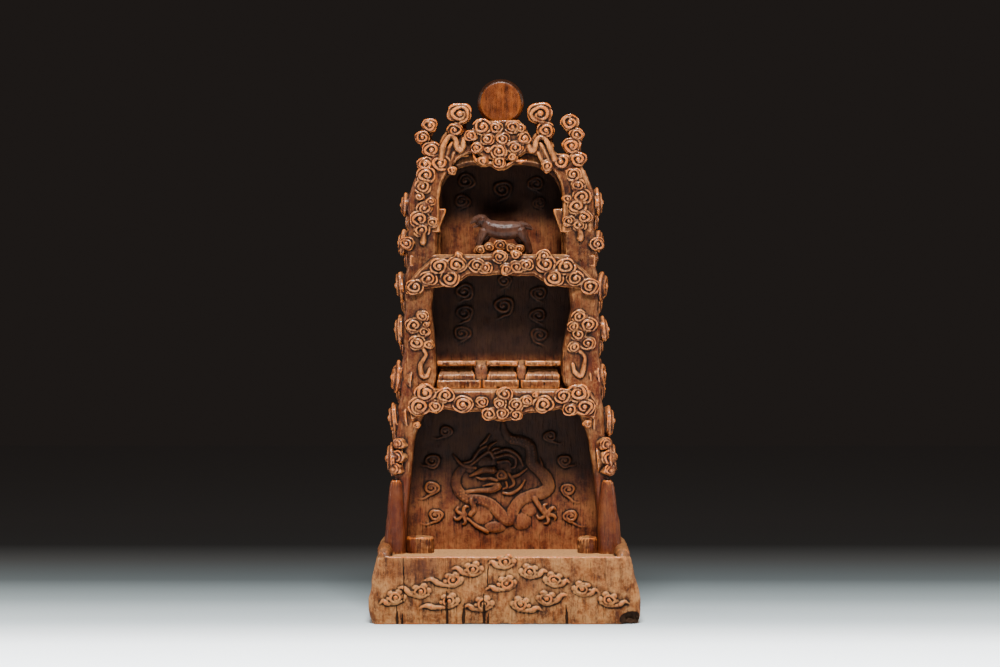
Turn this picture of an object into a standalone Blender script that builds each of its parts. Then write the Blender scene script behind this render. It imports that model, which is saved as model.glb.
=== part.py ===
"""A carved wooden altar shrine: plinth, three niches, two cloud shelves and a crest, all one block of wood.

Metres, +Z up, the front towards -Y. The origin is the middle of the underside of the plinth.
The niches are open to the front. Every form is a closed solid that overlaps its neighbours,
and one voxel skin fuses them, as the carver left them in one piece.
"""

import math

import bpy
import numpy as np

# Driving sizes, in metres
SHRINE_HEIGHT = 0.4233
PLINTH_WIDTH = 0.2110
PLINTH_DEPTH = 0.0990
PLINTH_HEIGHT = 0.0520
PLINTH_BATTER = 0.0065
SHOULDER_RADIUS = 0.0085
SHOULDER_RISE = 0.0100

TOWER_MIDDLE_X = -0.0015
TOWER_FRONT_SETBACK = 0.0250
NICHE_DEPTH = 0.0310
BACK_THICKNESS = 0.0260

FOOT_HALF_WIDTH = 0.0905
FOOT_WALL = 0.0155
LOWER_TOP_HALF_WIDTH = 0.0790
LOWER_TOP_WALL = 0.0130
MIDDLE_TOP_HALF_WIDTH = 0.0740
MIDDLE_WALL = 0.0230
UPPER_TOP_HALF_WIDTH = 0.0650
UPPER_WALL = 0.0180

LOWER_SHELF_SHARE = 0.4264
UPPER_SHELF_SHARE = 0.6756
SHELF_THICKNESS = 0.0110
FRINGE_DEPTH = 0.0110
FRINGE_FORWARD = 0.0020

ARCH_CROWN_SHARE = 0.8434
ARCH_SPRING_SHARE = 0.7607
ROOF_THICKNESS = 0.0140
ROOF_SHOULDER = 2.6
CREST_DEPTH = 0.0170

SUN_RADIUS = 0.0185
SUN_FACE_RADIUS = 0.0152
SUN_THICKNESS = 0.0120

CLOUD_SPREAD = 1.08
CLOUD_PROUD = 0.0050
CLOUD_ROOT = 0.0070
RELIEF_PROUD = 0.0028
PLINTH_RELIEF_PROUD = 0.0032
BOSS_COUNT = 7
BOSS_RADIUS = 0.0120
BOSS_LOWEST_Z = 0.1270
BOSS_HIGHEST_Z = 0.3240
BOSS_PROUD = 0.0085

STUB_WIDTH = 0.0220
STUB_DEPTH = 0.0200
STUB_HEIGHT = 0.0140
STUMP_RADIUS = 0.0082
STUMP_HEIGHT = 0.0570

PEDESTAL_WIDTH = 0.0315
PEDESTAL_PITCH = 0.0342
PEDESTAL_DEPTH = 0.0140
PEDESTAL_HEIGHT = 0.0200

BEAST_LENGTH = 0.0480
BEAST_HEIGHT = 0.0295
MOUND_HEIGHT = 0.0095

VOXEL = 0.00115
KEPT_SHARE = 0.0192
SINK = 0.0040
MM = 0.001

# Places that follow from the sizes
PLINTH_FRONT = -PLINTH_DEPTH / 2 + PLINTH_RELIEF_PROUD
PLINTH_BACK = PLINTH_DEPTH / 2
TOWER_FRONT = PLINTH_FRONT + TOWER_FRONT_SETBACK
BACK_FACE = TOWER_FRONT + NICHE_DEPTH
TOWER_BACK = BACK_FACE + BACK_THICKNESS
# Each level to a tenth of a millimetre
LOWER_SHELF_Z = round(LOWER_SHELF_SHARE * SHRINE_HEIGHT, 4)
UPPER_SHELF_Z = round(UPPER_SHELF_SHARE * SHRINE_HEIGHT, 4)
ARCH_SPRING_Z = round(ARCH_SPRING_SHARE * SHRINE_HEIGHT, 4)
ARCH_CROWN_Z = round(ARCH_CROWN_SHARE * SHRINE_HEIGHT, 4)
SUN_CENTRE_Z = SHRINE_HEIGHT - SUN_RADIUS
LOWER_TIER = LOWER_SHELF_Z - PLINTH_HEIGHT
MIDDLE_TIER = UPPER_SHELF_Z - LOWER_SHELF_Z
ROOF_TOP_Z = ARCH_CROWN_Z + ROOF_THICKNESS
UPPER_TIER = ROOF_TOP_Z - UPPER_SHELF_Z

# Clouds, each as millimetres out from the middle, millimetres above its level, radius in millimetres
POST_CLOUDS_UPPER = (
    (57.6, 62, 5.8), (60.6, 53, 5.4), (63.2, 45, 5.4), (53.5, 42, 4.4), (59.4, 36.6, 5.8),
    (63.9, 28, 6.4), (53.3, 25.5, 4.6), (61.5, 20.5, 5.6),
)
POST_CLOUDS_MIDDLE = (
    (61, 57.1, 5.2), (68, 50.1, 6.2), (57.3, 50.1, 4.4), (61.3, 43.5, 5.2), (66.6, 36.3, 5.6), (57, 34, 4.6),
)
FRINGE_CLOUDS_UPPER = (
    (68.5, -25.3, 6.4), (57.2, -19, 6.4), (49.3, -9.3, 6.6), (40.7, -18.5, 6.8), (34.6, -7.9, 6.8),
    (33.4, -1.4, 4.6), (19.3, -8.4, 5.6), (12.1, -10.4, 5.4), (3.2, -11.7, 5), (-2.1, -2, 5.2), (10.4, -0.5, 4.2),
)
FRINGE_CLOUDS_LOWER = (
    (59.8, -2.6, 7.2), (64.5, -13.3, 7.4), (52.5, -14.5, 5.6), (46, -4.5, 6.2), (31.4, -11.5, 6.8),
    (17.5, -9.2, 5), (10.4, -19.5, 5.2), (1.6, -3.5, 5.6), (4.2, -11.6, 5.6), (-0.7, -18.5, 5.2), (25, -4.5, 3.6),
)
CREST_CLOUDS = (
    (54.7, 17.5, 5.8), (60.2, 8.3, 5.4), (54.5, -1, 6.4), (47, -12.5, 6.6), (59.6, -12, 5.8), (38.5, -17, 4.6),
)
HORN_CLOUDS = ((31.5, 25.5, 8.2), (35.5, 12.8, 6.4))
CENTRE_CLOUDS = (
    (-16.1, 15.5, 6.2), (-5.3, 14.9, 5), (7.8, 15, 5.2), (16.5, 14, 5.2), (-23.5, 8.5, 4.6), (20.6, 7, 4.8),
    (-11.9, 5.9, 5), (0, 6, 5.2), (-19.8, -1, 4.8), (-2.9, -4, 5.6), (9.8, -1, 5.4), (-15.2, -11.2, 4.4),
    (-2.5, -12, 5), (7.9, -8, 4.6),
)
UPPER_NICHE_CLOUDS = ((-28.7, 58, 8.6), (0, 51.5, 9.4), (26.5, 56, 8), (-31.5, 42, 8), (29, 41, 6.6))
MIDDLE_NICHE_CLOUDS = (
    (-30, 78, 8.4), (1.5, 86, 7), (29, 76, 7.8), (0.8, 67, 9.6), (-30, 61, 8.6), (28, 59.5, 8.6),
    (-32, 45, 8.6), (29, 43.5, 8.6),
)
LOWER_NICHE_CLOUDS = (
    (-44, 95, 6.4), (-55, 72.5, 8.6), (-56, 51, 7.4), (-52, 29.5, 7),
    (37, 91.5, 6.4), (49, 72.5, 7.2), (51, 50, 7.2), (53.5, 29, 7.2),
)
PLINTH_CLOUDS = (
    (-83.8, 20.7, -1), (-64.5, 25.4, -1), (-39.7, 34.1, -1), (-24.3, 42.3, -1), (-42.5, 18, -1), (-16, 15.8, -1),
    (0.8, 48, -1), (1.5, 31.6, -1), (19.2, 40.5, 1), (38, 34.1, 1), (59.8, 27.2, 1), (80.4, 18.7, 1),
    (32.5, 19.8, 1), (12.6, 15.3, 1),
)
PLINTH_CLOUD_RADIUS = 6.8
PLINTH_TAIL_LENGTH = 17


def ring_of(middle, across, up, radius_across, radius_up, sides=12):
    """An ellipse of points: middle + across * cos + up * sin, with the two radii."""
    turn = np.linspace(0, 2 * math.pi, sides, endpoint=False)[:, None]
    return np.asarray(middle) + radius_across * np.cos(turn) * across + radius_up * np.sin(turn) * up


def between(first, second, front, back):
    """A slab from two curves of equal length in the X-Z plane, carried from front to back along Y."""
    first, second = np.asarray(first, float), np.asarray(second, float)
    rings = []
    for (x0, z0), (x1, z1) in zip(first, second):
        rings.append([(x0, front, z0), (x1, front, z1), (x1, back, z1), (x0, back, z0)])
    return np.array(rings)


def block(low, high, round_off=0.0015):
    """A box with its upright edges and its top rounded off a little."""
    low, high = np.asarray(low, float), np.asarray(high, float)
    rings = []
    for height, inset in ((low[2], 0), (high[2] - round_off, 0), (high[2], round_off)):
        x0, y0 = low[:2] + inset
        x1, y1 = high[:2] - inset
        cut = round_off
        rings.append([
            (x0 + cut, y0, height), (x1 - cut, y0, height), (x1, y0 + cut, height), (x1, y1 - cut, height),
            (x1 - cut, y1, height), (x0 + cut, y1, height), (x0, y1 - cut, height), (x0, y0 + cut, height),
        ])
    return np.array(rings)


def smooth_path(points, steps=5):
    """A Catmull-Rom curve through the points, so that bends are round."""
    points = np.asarray(points, float)
    ends = np.vstack([2 * points[0] - points[1], points, 2 * points[-1] - points[-2]])
    share = np.linspace(0, 1, steps, endpoint=False)[:, None]
    runs = []
    for before, start, stop, after in zip(ends, ends[1:], ends[2:], ends[3:]):
        runs.append(0.5 * (
            2 * start + (stop - before) * share
            + (2 * before - 5 * start + 4 * stop - after) * share ** 2
            + (3 * start - before - 3 * stop + after) * share ** 3
        ))
    return np.vstack(runs + [points[-1:]])


def rope(points, radii, sides=8, steps=5):
    """A round bar along a smooth path, with its radius run evenly between those given."""
    path = smooth_path(points, steps)
    share = np.linspace(0, 1, len(path))
    thick = np.interp(share, np.linspace(0, 1, len(radii)), radii)
    along = np.gradient(path, axis=0)
    along /= np.linalg.norm(along, axis=1)[:, None]
    side = np.cross(along, (0.031, 1.0, 0.017))
    side /= np.linalg.norm(side, axis=1)[:, None]
    over = np.cross(side, along)
    rings = [ring_of(p, s, o, t, t, sides) for p, s, o, t in zip(path, side, over, thick)]
    first = path[0] - along[0] * thick[0] * 0.7
    last = path[-1] + along[-1] * thick[-1] * 0.7
    rings.insert(0, ring_of(first, side[0], over[0], thick[0] * 0.5, thick[0] * 0.5, sides))
    rings.append(ring_of(last, side[-1], over[-1], thick[-1] * 0.5, thick[-1] * 0.5, sides))
    return np.array(rings)


def egg(middle, half_x, half_y, half_z, rows=7, sides=12):
    """An ellipsoid of rings along X."""
    rings = []
    for lie in np.linspace(-0.96, 0.96, rows):
        swell = math.sqrt(1 - lie * lie)
        centre = (middle[0] + lie * half_x, middle[1], middle[2])
        rings.append(ring_of(centre, np.array((0, 1, 0)), np.array((0, 0, 1)), half_y * swell, half_z * swell, sides))
    return np.array(rings)


def cloud(middle, radius, proud, root, facing=(0, -1, 0), lift=(0, 0, 1), sides=12):
    """A curled cloud: a raised rim, a groove inside it and a round knob in the middle.

    The rings run from the root, sunk in the body, over the rim and the groove to the knob.
    """
    facing, lift = np.asarray(facing, float), np.asarray(lift, float)
    across = np.cross(lift, facing)
    profile = (
        (1.00, -root), (1.00, 0.35 * proud), (0.86, 0.95 * proud), (0.70, 0.95 * proud),
        (0.50, 0.35 * proud), (0.34, 0.95 * proud), (0.14, 1.15 * proud),
    )
    rings = []
    for share, height in profile:
        centre = np.asarray(middle) + facing * height
        rings.append(ring_of(centre, across, lift, radius * share * 1.06, radius * share * 0.96, sides))
    return np.array(rings)


def outer_half(height):
    """Half the tower's width at a height: it draws in from the foot to the roof."""
    heights = (PLINTH_HEIGHT, LOWER_SHELF_Z, UPPER_SHELF_Z, ROOF_TOP_Z)
    halves = (FOOT_HALF_WIDTH, LOWER_TOP_HALF_WIDTH, MIDDLE_TOP_HALF_WIDTH, UPPER_TOP_HALF_WIDTH)
    return float(np.interp(height, heights, halves))


def roof_half(height):
    """Half the roof's width above the arch's spring: a round-shouldered arch, narrowing to its crown."""
    rise = (height - ARCH_SPRING_Z) / (ROOF_TOP_Z - ARCH_SPRING_Z)
    if rise <= 0:
        return outer_half(height)
    return outer_half(ARCH_SPRING_Z) * (1 - min(rise, 1) ** ROOF_SHOULDER) ** (1 / ROOF_SHOULDER)


def sided(side, out, depth, height):
    """A point at a distance out from the tower's middle, on its left (-1) or right (+1)."""
    return (TOWER_MIDDLE_X + side * out, depth, height)


def plinth():
    """The battered block, a little swollen near its foot, with a rounded lip along each end."""
    foot = PLINTH_WIDTH / 2
    top = foot - PLINTH_BATTER
    back_set = 0.0015
    levels = (
        (-SINK, foot - 0.0030), (0.0, foot - 0.0030), (0.16 * PLINTH_HEIGHT, foot), (0.30 * PLINTH_HEIGHT, foot),
        (0.6 * PLINTH_HEIGHT, foot - 0.0025), (PLINTH_HEIGHT - 0.0015, top), (PLINTH_HEIGHT, top - 0.0015),
    )
    rings = []
    cut = 0.006
    for height, half in levels:
        lean = back_set * max(height, 0) / PLINTH_HEIGHT
        front, back = PLINTH_FRONT + lean, PLINTH_BACK - lean
        rings.append([
            (-half + cut, front, height), (half - cut, front, height), (half, front + cut, height),
            (half, back - cut, height), (half - cut, back, height), (-half + cut, back, height),
            (-half, back - cut, height), (-half, front + cut, height),
        ])
    forms = [np.array(rings)]
    for side in (-1, 1):
        ridge = top - SHOULDER_RADIUS + 0.001
        centre_z = PLINTH_HEIGHT + SHOULDER_RISE - SHOULDER_RADIUS
        ends = (PLINTH_FRONT + SHOULDER_RADIUS, 0, PLINTH_BACK - SHOULDER_RADIUS)
        drops = (0.003, 0, 0.001)
        path = [(side * ridge, y, centre_z - drop) for y, drop in zip(ends, drops)]
        forms.append(rope(path, (SHOULDER_RADIUS,) * 3, sides=10))
        skirt = between(
            [(side * (ridge + SHOULDER_RADIUS - 0.001), PLINTH_HEIGHT - 0.008), (side * ridge, centre_z)],
            [(side * (ridge - SHOULDER_RADIUS - 0.004), PLINTH_HEIGHT - 0.008),
             (side * (ridge - SHOULDER_RADIUS), centre_z)],
            PLINTH_FRONT + 0.006, PLINTH_BACK - 0.006,
        )
        forms.append(skirt)
    return forms


def plinth_reliefs():
    """Fourteen small clouds with drawn-out tails, blown away from the middle."""
    forms = []
    radius = PLINTH_CLOUD_RADIUS * MM
    for out, up, blow in PLINTH_CLOUDS:
        height = up * MM * PLINTH_HEIGHT / 0.052
        depth = PLINTH_FRONT + 0.0015 * height / PLINTH_HEIGHT + 0.0003
        x = out * MM * PLINTH_WIDTH / 0.211
        forms.append(cloud((x, depth, height), radius, PLINTH_RELIEF_PROUD, 0.003))
        tail = blow * PLINTH_TAIL_LENGTH * MM
        path = [(x, depth, height - 0.7 * radius), (x + 0.45 * tail, depth, height - 0.5 * radius),
                (x + 0.75 * tail, depth, height + 0.1 * radius), (x + tail, depth, height - 0.15 * radius)]
        forms.append(rope(path, (0.0027, 0.0025, 0.0022, 0.0012), sides=6, steps=3))
    return forms


def walls():
    """The back wall and the two side walls, one storey after another, each drawn in over the last."""
    storeys = (
        (PLINTH_HEIGHT - SINK, LOWER_SHELF_Z - 0.002, FOOT_WALL, LOWER_TOP_WALL),
        (LOWER_SHELF_Z - SHELF_THICKNESS, UPPER_SHELF_Z - 0.002, MIDDLE_WALL, MIDDLE_WALL),
        (UPPER_SHELF_Z - SHELF_THICKNESS, ARCH_SPRING_Z + 0.004, UPPER_WALL, UPPER_WALL),
    )
    forms = []
    for low, high, wall_low, wall_high in storeys:
        heights = np.linspace(low, high, 4)
        share = np.linspace(0, 1, 4)
        for side in (-1, 1):
            outer = [(TOWER_MIDDLE_X + side * outer_half(h), h) for h in heights]
            inner = [(TOWER_MIDDLE_X + side * (outer_half(h) - wall_low * (1 - s) - wall_high * s), h)
                     for h, s in zip(heights, share)]
            forms.append(between(outer, inner, TOWER_FRONT, TOWER_BACK - 0.002))
    heights = np.append(np.linspace(PLINTH_HEIGHT - SINK, ARCH_SPRING_Z, 6),
                        ARCH_SPRING_Z + (ARCH_CROWN_Z - ARCH_SPRING_Z) * np.array((0.3, 0.55, 0.75, 0.9, 1.0)))
    inset = 0.004
    left = [(TOWER_MIDDLE_X - roof_half(h) + inset, h) for h in heights]
    right = [(TOWER_MIDDLE_X + roof_half(h) - inset, h) for h in heights]
    forms.append(between(left, right, BACK_FACE, TOWER_BACK))
    return forms


def stumps():
    """The worn round lower ends of the front posts, and the two cut-off stubs on the floor."""
    forms = []
    for side in (-1, 1):
        out = FOOT_HALF_WIDTH - STUMP_RADIUS + 0.0005
        top_out = out - 0.003
        depth = TOWER_FRONT + STUMP_RADIUS - 0.004
        top_z = PLINTH_HEIGHT + STUMP_HEIGHT
        path = [sided(side, out, depth, PLINTH_HEIGHT - SINK), sided(side, out - 0.001, depth, PLINTH_HEIGHT + 0.02),
                sided(side, top_out, depth, top_z - STUMP_RADIUS)]
        forms.append(rope(path, (STUMP_RADIUS, STUMP_RADIUS, 0.75 * STUMP_RADIUS), sides=10))
        inner = FOOT_HALF_WIDTH - FOOT_WALL + 0.0005
        low_x, high_x = sorted(TOWER_MIDDLE_X + side * x for x in (inner, inner - STUB_WIDTH))
        forms.append(block(
            (low_x, TOWER_FRONT - 0.0015, PLINTH_HEIGHT - SINK),
            (high_x, TOWER_FRONT - 0.0015 + STUB_DEPTH, PLINTH_HEIGHT + STUB_HEIGHT), 0.004,
        ))
    return forms


def fringe(level, reach, drop_middle, drop_between, drop_end):
    """A shelf's board and the hanging band in front of it, deepest at the middle and at both ends."""
    board = [(TOWER_MIDDLE_X + x, level) for x in (-reach, reach)]
    under = [(TOWER_MIDDLE_X + x, level - SHELF_THICKNESS) for x in (-reach, reach)]
    forms = [between(board, under, TOWER_FRONT, BACK_FACE + SINK)]
    shares = np.linspace(-1, 1, 13)
    dips = np.interp(np.abs(shares), (0, 0.16, 0.45, 0.62, 1.0),
                     (drop_middle, drop_middle, drop_between, drop_end * 0.75, drop_end))
    top = [(TOWER_MIDDLE_X + s * reach, level - 0.0005 - 0.35 * max(0, abs(s) - 0.7) * reach) for s in shares]
    edge = [(TOWER_MIDDLE_X + s * reach, level - dip) for s, dip in zip(shares, dips)]
    forms.append(between(top, edge, TOWER_FRONT - FRINGE_FORWARD, TOWER_FRONT + FRINGE_DEPTH))
    return forms


def clouds_on(places, level, stretch, front, mirrored=True):
    """Curled clouds set on a front face; the heights stretch with the storey that carries them."""
    forms = []
    for side in ((-1, 1) if mirrored else (1,)):
        for out, up, radius in places:
            if side == -1 and abs(out) < 5.5:
                continue
            centre = sided(side, out * MM, front, level + up * MM * stretch)
            forms.append(cloud(centre, radius * CLOUD_SPREAD * MM, CLOUD_PROUD, CLOUD_ROOT))
    return forms


def hanging_ends():
    """The small U-shaped drops and hooks in which the bands of cloud end on the posts."""
    forms = []
    front = TOWER_FRONT
    for side in (-1, 1):
        drop = [(62, 18), (61.4, 12), (61.4, 8.5)]
        path = [sided(side, out * MM, front, UPPER_SHELF_Z + up * MM) for out, up in drop]
        forms.append(rope(path, (0.0036, 0.0038, 0.0034), sides=8))
        hook = [(61, 30.5), (59, 26.5), (62.5, 19), (62, 12.5), (58.5, 12.5), (56.5, 16)]
        path = [sided(side, out * MM, front, LOWER_SHELF_Z + up * MM) for out, up in hook]
        forms.append(rope(path, (0.0024, 0.0026, 0.0026, 0.0016), sides=6, steps=4))
        strut = [(68.5, -18), (71, -30), (76, -46)]
        path = [sided(side, out * MM, front + 0.003, LOWER_SHELF_Z + up * MM) for out, up in strut]
        forms.append(rope(path, (0.0040, 0.0030, 0.0034), sides=8))
    return forms


def side_bosses():
    """Two columns of curled clouds standing out from each side wall, one behind the other."""
    forms = []
    pitch = (BOSS_HIGHEST_Z - BOSS_LOWEST_Z) / (BOSS_COUNT - 1)
    front_column = TOWER_FRONT + 0.0125
    back_column = TOWER_BACK - 0.0140
    for side in (-1, 1):
        for step in range(BOSS_COUNT):
            height = BOSS_LOWEST_Z + step * pitch
            shrink = 1 - 0.035 * step
            wall = outer_half(height)
            facing, lift = (side, 0, 0), (0, 0, 1)
            centre = sided(side, wall - 0.001, front_column, height)
            forms.append(cloud(centre, BOSS_RADIUS * shrink * 1.03, BOSS_PROUD, 0.006, facing, lift, sides=12))
            if step < BOSS_COUNT - 1:
                centre = sided(side, outer_half(height + pitch / 2) - 0.001, back_column, height + pitch / 2)
                forms.append(cloud(centre, BOSS_RADIUS * shrink * 0.95, 0.6 * BOSS_PROUD, 0.006, facing, lift))
    return forms


def roof():
    """The arch over the upper niche, whose crown is the roof that the crest grows from."""
    turn = np.linspace(0, math.pi, 15)
    spring = outer_half(ARCH_SPRING_Z) - UPPER_WALL
    inner = [(TOWER_MIDDLE_X + spring * math.cos(a),
              ARCH_SPRING_Z + (ARCH_CROWN_Z - ARCH_SPRING_Z) * math.sin(a) ** 0.6) for a in turn]
    heights = ARCH_SPRING_Z + (ROOF_TOP_Z - ARCH_SPRING_Z) * np.sin(turn) ** (2 / ROOF_SHOULDER)
    outer = [(TOWER_MIDDLE_X + math.copysign(roof_half(h), math.cos(a)), h) for h, a in zip(heights, turn)]
    return [between(inner, outer, TOWER_FRONT, TOWER_BACK - 0.001)]


def crest():
    """The cloud cluster in the middle, two inner and two outer horns, and the plain sun disc."""
    back = TOWER_FRONT + CREST_DEPTH
    forms = []
    heights = (-14, -6, 4, 12, 20)
    halves = (13, 20, 22, 21, 13)
    left = [(TOWER_MIDDLE_X - w * MM, ROOF_TOP_Z + h * MM) for h, w in zip(heights, halves)]
    right = [(TOWER_MIDDLE_X + w * MM, ROOF_TOP_Z + h * MM) for h, w in zip(heights, halves)]
    forms.append(between(left, right, TOWER_FRONT - FRINGE_FORWARD, back))
    forms += clouds_on(CENTRE_CLOUDS, ROOF_TOP_Z, 1, TOWER_FRONT - FRINGE_FORWARD, mirrored=False)
    forms += clouds_on(CREST_CLOUDS, ROOF_TOP_Z, 1, TOWER_FRONT)
    forms += clouds_on(HORN_CLOUDS, ROOF_TOP_Z, 1, TOWER_FRONT)
    middle_depth = (TOWER_FRONT + back) / 2
    for side in (-1, 1):
        inner = [(37, -8), (34.5, 6), (34, 14), (31.5, 25)]
        path = [sided(side, out * MM, middle_depth, ROOF_TOP_Z + up * MM) for out, up in inner]
        forms.append(rope(path, (0.0080, 0.0066, 0.0062, 0.0074), sides=10))
        outer = [(55, -22), (55, -8), (57, 4), (57.5, 10), (54.7, 17)]
        path = [sided(side, out * MM, middle_depth, ROOF_TOP_Z + up * MM) for out, up in outer]
        forms.append(rope(path, (0.0090, 0.0080, 0.0066, 0.0060, 0.0056), sides=10))
        ribbon = [(46, -20), (46, -8), (40.5, 0), (35, -3), (33, -10), (31, -8), (30, 0)]
        path = [sided(side, out * MM, TOWER_FRONT - 0.001, ROOF_TOP_Z + up * MM) for out, up in ribbon]
        forms.append(rope(path, (0.0030, 0.0034, 0.0030), sides=6, steps=4))
    sun_depth = TOWER_FRONT + 0.0010
    profile = (
        (SUN_FACE_RADIUS, sun_depth), (SUN_RADIUS, sun_depth + 0.0035),
        (SUN_RADIUS, sun_depth + SUN_THICKNESS - 0.0030), (SUN_FACE_RADIUS, sun_depth + SUN_THICKNESS),
    )
    across, lift = np.array((1, 0, 0)), np.array((0, 0, 1))
    forms.append(np.array([ring_of((TOWER_MIDDLE_X - 0.0014, y, SUN_CENTRE_Z), across, lift, r, r, 24)
                           for r, y in profile]))
    neck = [(TOWER_MIDDLE_X - 0.0014, middle_depth, ROOF_TOP_Z + 0.008),
            (TOWER_MIDDLE_X - 0.0014, middle_depth, SUN_CENTRE_Z - 0.6 * SUN_RADIUS)]
    forms.append(rope(neck, (0.0080, 0.0080), sides=10))
    return forms


def lugs():
    """The two small flat-topped blocks that jut into the upper niche."""
    forms = []
    inner = outer_half(UPPER_SHELF_Z + 0.03) - UPPER_WALL
    for side in (-1, 1):
        low, high = UPPER_SHELF_Z + 0.0195, UPPER_SHELF_Z + 0.0355
        first = [(TOWER_MIDDLE_X + side * (inner + 0.004), low), (TOWER_MIDDLE_X + side * (inner + 0.004), high)]
        second = [(TOWER_MIDDLE_X + side * (inner - 0.002), low), (TOWER_MIDDLE_X + side * (inner - 0.0075), high)]
        forms.append(between(first, second, TOWER_FRONT + 0.004, TOWER_FRONT + 0.016))
    return forms


def pedestals():
    """Three stepped seats with pinched waists, side by side before the middle back wall."""
    forms = []
    steps = ((0.0, 0.16, 0.50), (0.16, 0.34, 0.46), (0.30, 0.72, 0.40), (0.70, 0.80, 0.44), (0.78, 1.0, 0.49))
    front = BACK_FACE - PEDESTAL_DEPTH
    for place in (-1, 0, 1):
        middle = TOWER_MIDDLE_X - 0.0005 + place * PEDESTAL_PITCH
        for low, high, half in steps:
            set_back = (0.50 - half) * 0.05
            forms.append(block(
                (middle - half * PEDESTAL_WIDTH, front + set_back, LOWER_SHELF_Z - 0.001 + low * PEDESTAL_HEIGHT),
                (middle + half * PEDESTAL_WIDTH, BACK_FACE + SINK, LOWER_SHELF_Z + high * PEDESTAL_HEIGHT), 0.0006,
            ))
    return forms


def beast():
    """The small beast on its mound of cloud, head to the left; open under the belly on both sides."""
    middle_x = TOWER_MIDDLE_X - 0.0004
    depth = TOWER_FRONT + 0.0110
    floor = UPPER_SHELF_Z

    def at(along, up):
        return (middle_x + along * BEAST_LENGTH, depth, floor + up * BEAST_HEIGHT)

    thick = BEAST_HEIGHT
    forms = [
        rope([at(-0.26, 0.68), at(0.0, 0.66), at(0.27, 0.64)], (0.215 * thick, 0.21 * thick, 0.22 * thick), 10),
        rope([at(-0.28, 0.72), at(-0.35, 0.84), at(-0.41, 0.88)], (0.19 * thick, 0.16 * thick, 0.15 * thick), 10),
        rope([at(-0.43, 0.87), at(-0.57, 0.79)], (0.14 * thick, 0.07 * thick), 8),
        rope([at(0.30, 0.72), at(0.42, 0.75), at(0.55, 0.71)], (0.12 * thick, 0.10 * thick, 0.05 * thick), 8),
        rope([at(-0.36, 0.60), at(-0.41, 0.3), at(-0.45, -0.03)], (0.15 * thick, 0.10 * thick, 0.09 * thick), 8),
        rope([at(0.36, 0.56), at(0.43, 0.3), at(0.49, -0.03)], (0.17 * thick, 0.11 * thick, 0.09 * thick), 8),
        block((middle_x - 0.40 * BEAST_LENGTH, depth - 0.0055, floor - 0.001),
              (middle_x + 0.46 * BEAST_LENGTH, depth + 0.0060, floor + 0.55 * MOUND_HEIGHT), 0.002),
        egg((middle_x + 0.02 * BEAST_LENGTH, depth, floor + 0.45 * MOUND_HEIGHT),
            0.12 * BEAST_LENGTH, 0.0055, 0.85 * MOUND_HEIGHT),
    ]
    for along in (-0.32, -0.14, 0.07, 0.27, 0.42):
        forms.append(cloud((middle_x + along * BEAST_LENGTH, depth - 0.0045, floor + 0.38 * MOUND_HEIGHT),
                           0.0040, 0.0022, 0.003, sides=8))
    return forms


def niche_reliefs():
    """Low clouds on the three back walls, each with a short tail."""
    forms = []
    groups = (
        (UPPER_NICHE_CLOUDS, UPPER_SHELF_Z, UPPER_TIER / 0.084),
        (MIDDLE_NICHE_CLOUDS, LOWER_SHELF_Z, MIDDLE_TIER / 0.1055),
        (LOWER_NICHE_CLOUDS, PLINTH_HEIGHT, LOWER_TIER / 0.1285),
    )
    for places, level, stretch in groups:
        for out, up, radius in places:
            x, height = TOWER_MIDDLE_X + out * MM, level + up * MM * stretch
            forms.append(cloud((x, BACK_FACE, height), radius * 0.9 * MM, RELIEF_PROUD, 0.003))
            away = math.copysign(1, out)
            path = [(x, BACK_FACE, height - 0.75 * radius * MM),
                    (x + away * 0.9 * radius * MM, BACK_FACE, height - 0.7 * radius * MM),
                    (x + away * 1.6 * radius * MM, BACK_FACE, height - 0.35 * radius * MM)]
            forms.append(rope(path, (0.0026, 0.0024, 0.0012), sides=6, steps=3))
    return forms


def dragon():
    """The coiled dragon on the lower back wall, its head to the left, with clawed feet and clouds."""
    stretch = LOWER_TIER / 0.1285

    def on_wall(points):
        return [(TOWER_MIDDLE_X + out * MM, BACK_FACE, PLINTH_HEIGHT + up * MM * stretch) for out, up in points]

    body = [(0, 98), (10, 89), (22, 88), (26, 79), (24, 72), (31, 64), (39, 53), (29, 46), (15, 37), (5, 26),
            (-7, 34), (-15, 37), (-32, 42), (-38, 51), (-35, 64), (-24, 74), (-10, 76), (0, 68), (2, 56),
            (-8, 50), (-16, 55)]
    forms = [rope(on_wall(body), (0.0018, 0.0036, 0.0044, 0.0046, 0.0046, 0.0044, 0.0040), sides=8, steps=4)]
    forms.append(egg(on_wall([(-9, 62)])[0], 0.0125, 0.0052, 0.0100))
    forms.append(egg(on_wall([(-19, 60)])[0], 0.0080, 0.0042, 0.0052))
    forms.append(cloud(on_wall([(-1, 60)])[0], 0.0050, 0.0046, 0.003))
    for out, up, lean in ((-12, 72, -6), (-5, 73, 6)):
        forms.append(rope(on_wall([(out, up), (out + 0.4 * lean, up + 8), (out + lean, up + 15)]),
                          (0.0026, 0.0022, 0.0014), sides=6, steps=3))
    for out, up, fan in ((-32, 24, -1), (34, 25, 1)):
        forms.append(rope(on_wall([(fan * 20, up + 12), (0.5 * (out + fan * 20), up + 4), (out, up)]),
                          (0.0036, 0.0034, 0.0030), sides=8, steps=3))
        for spread in (-7, 0, 7):
            forms.append(rope(on_wall([(out, up), (out + fan * 5, up + spread)]), (0.0024, 0.0014), sides=6, steps=2))
    for out, up, radius in ((-6, 20, 5.2), (15, 20, 5.4), (28, 62, 4.4)):
        forms.append(cloud(on_wall([(out, up)])[0], radius * MM, 0.0034, 0.003))
    return forms


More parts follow.
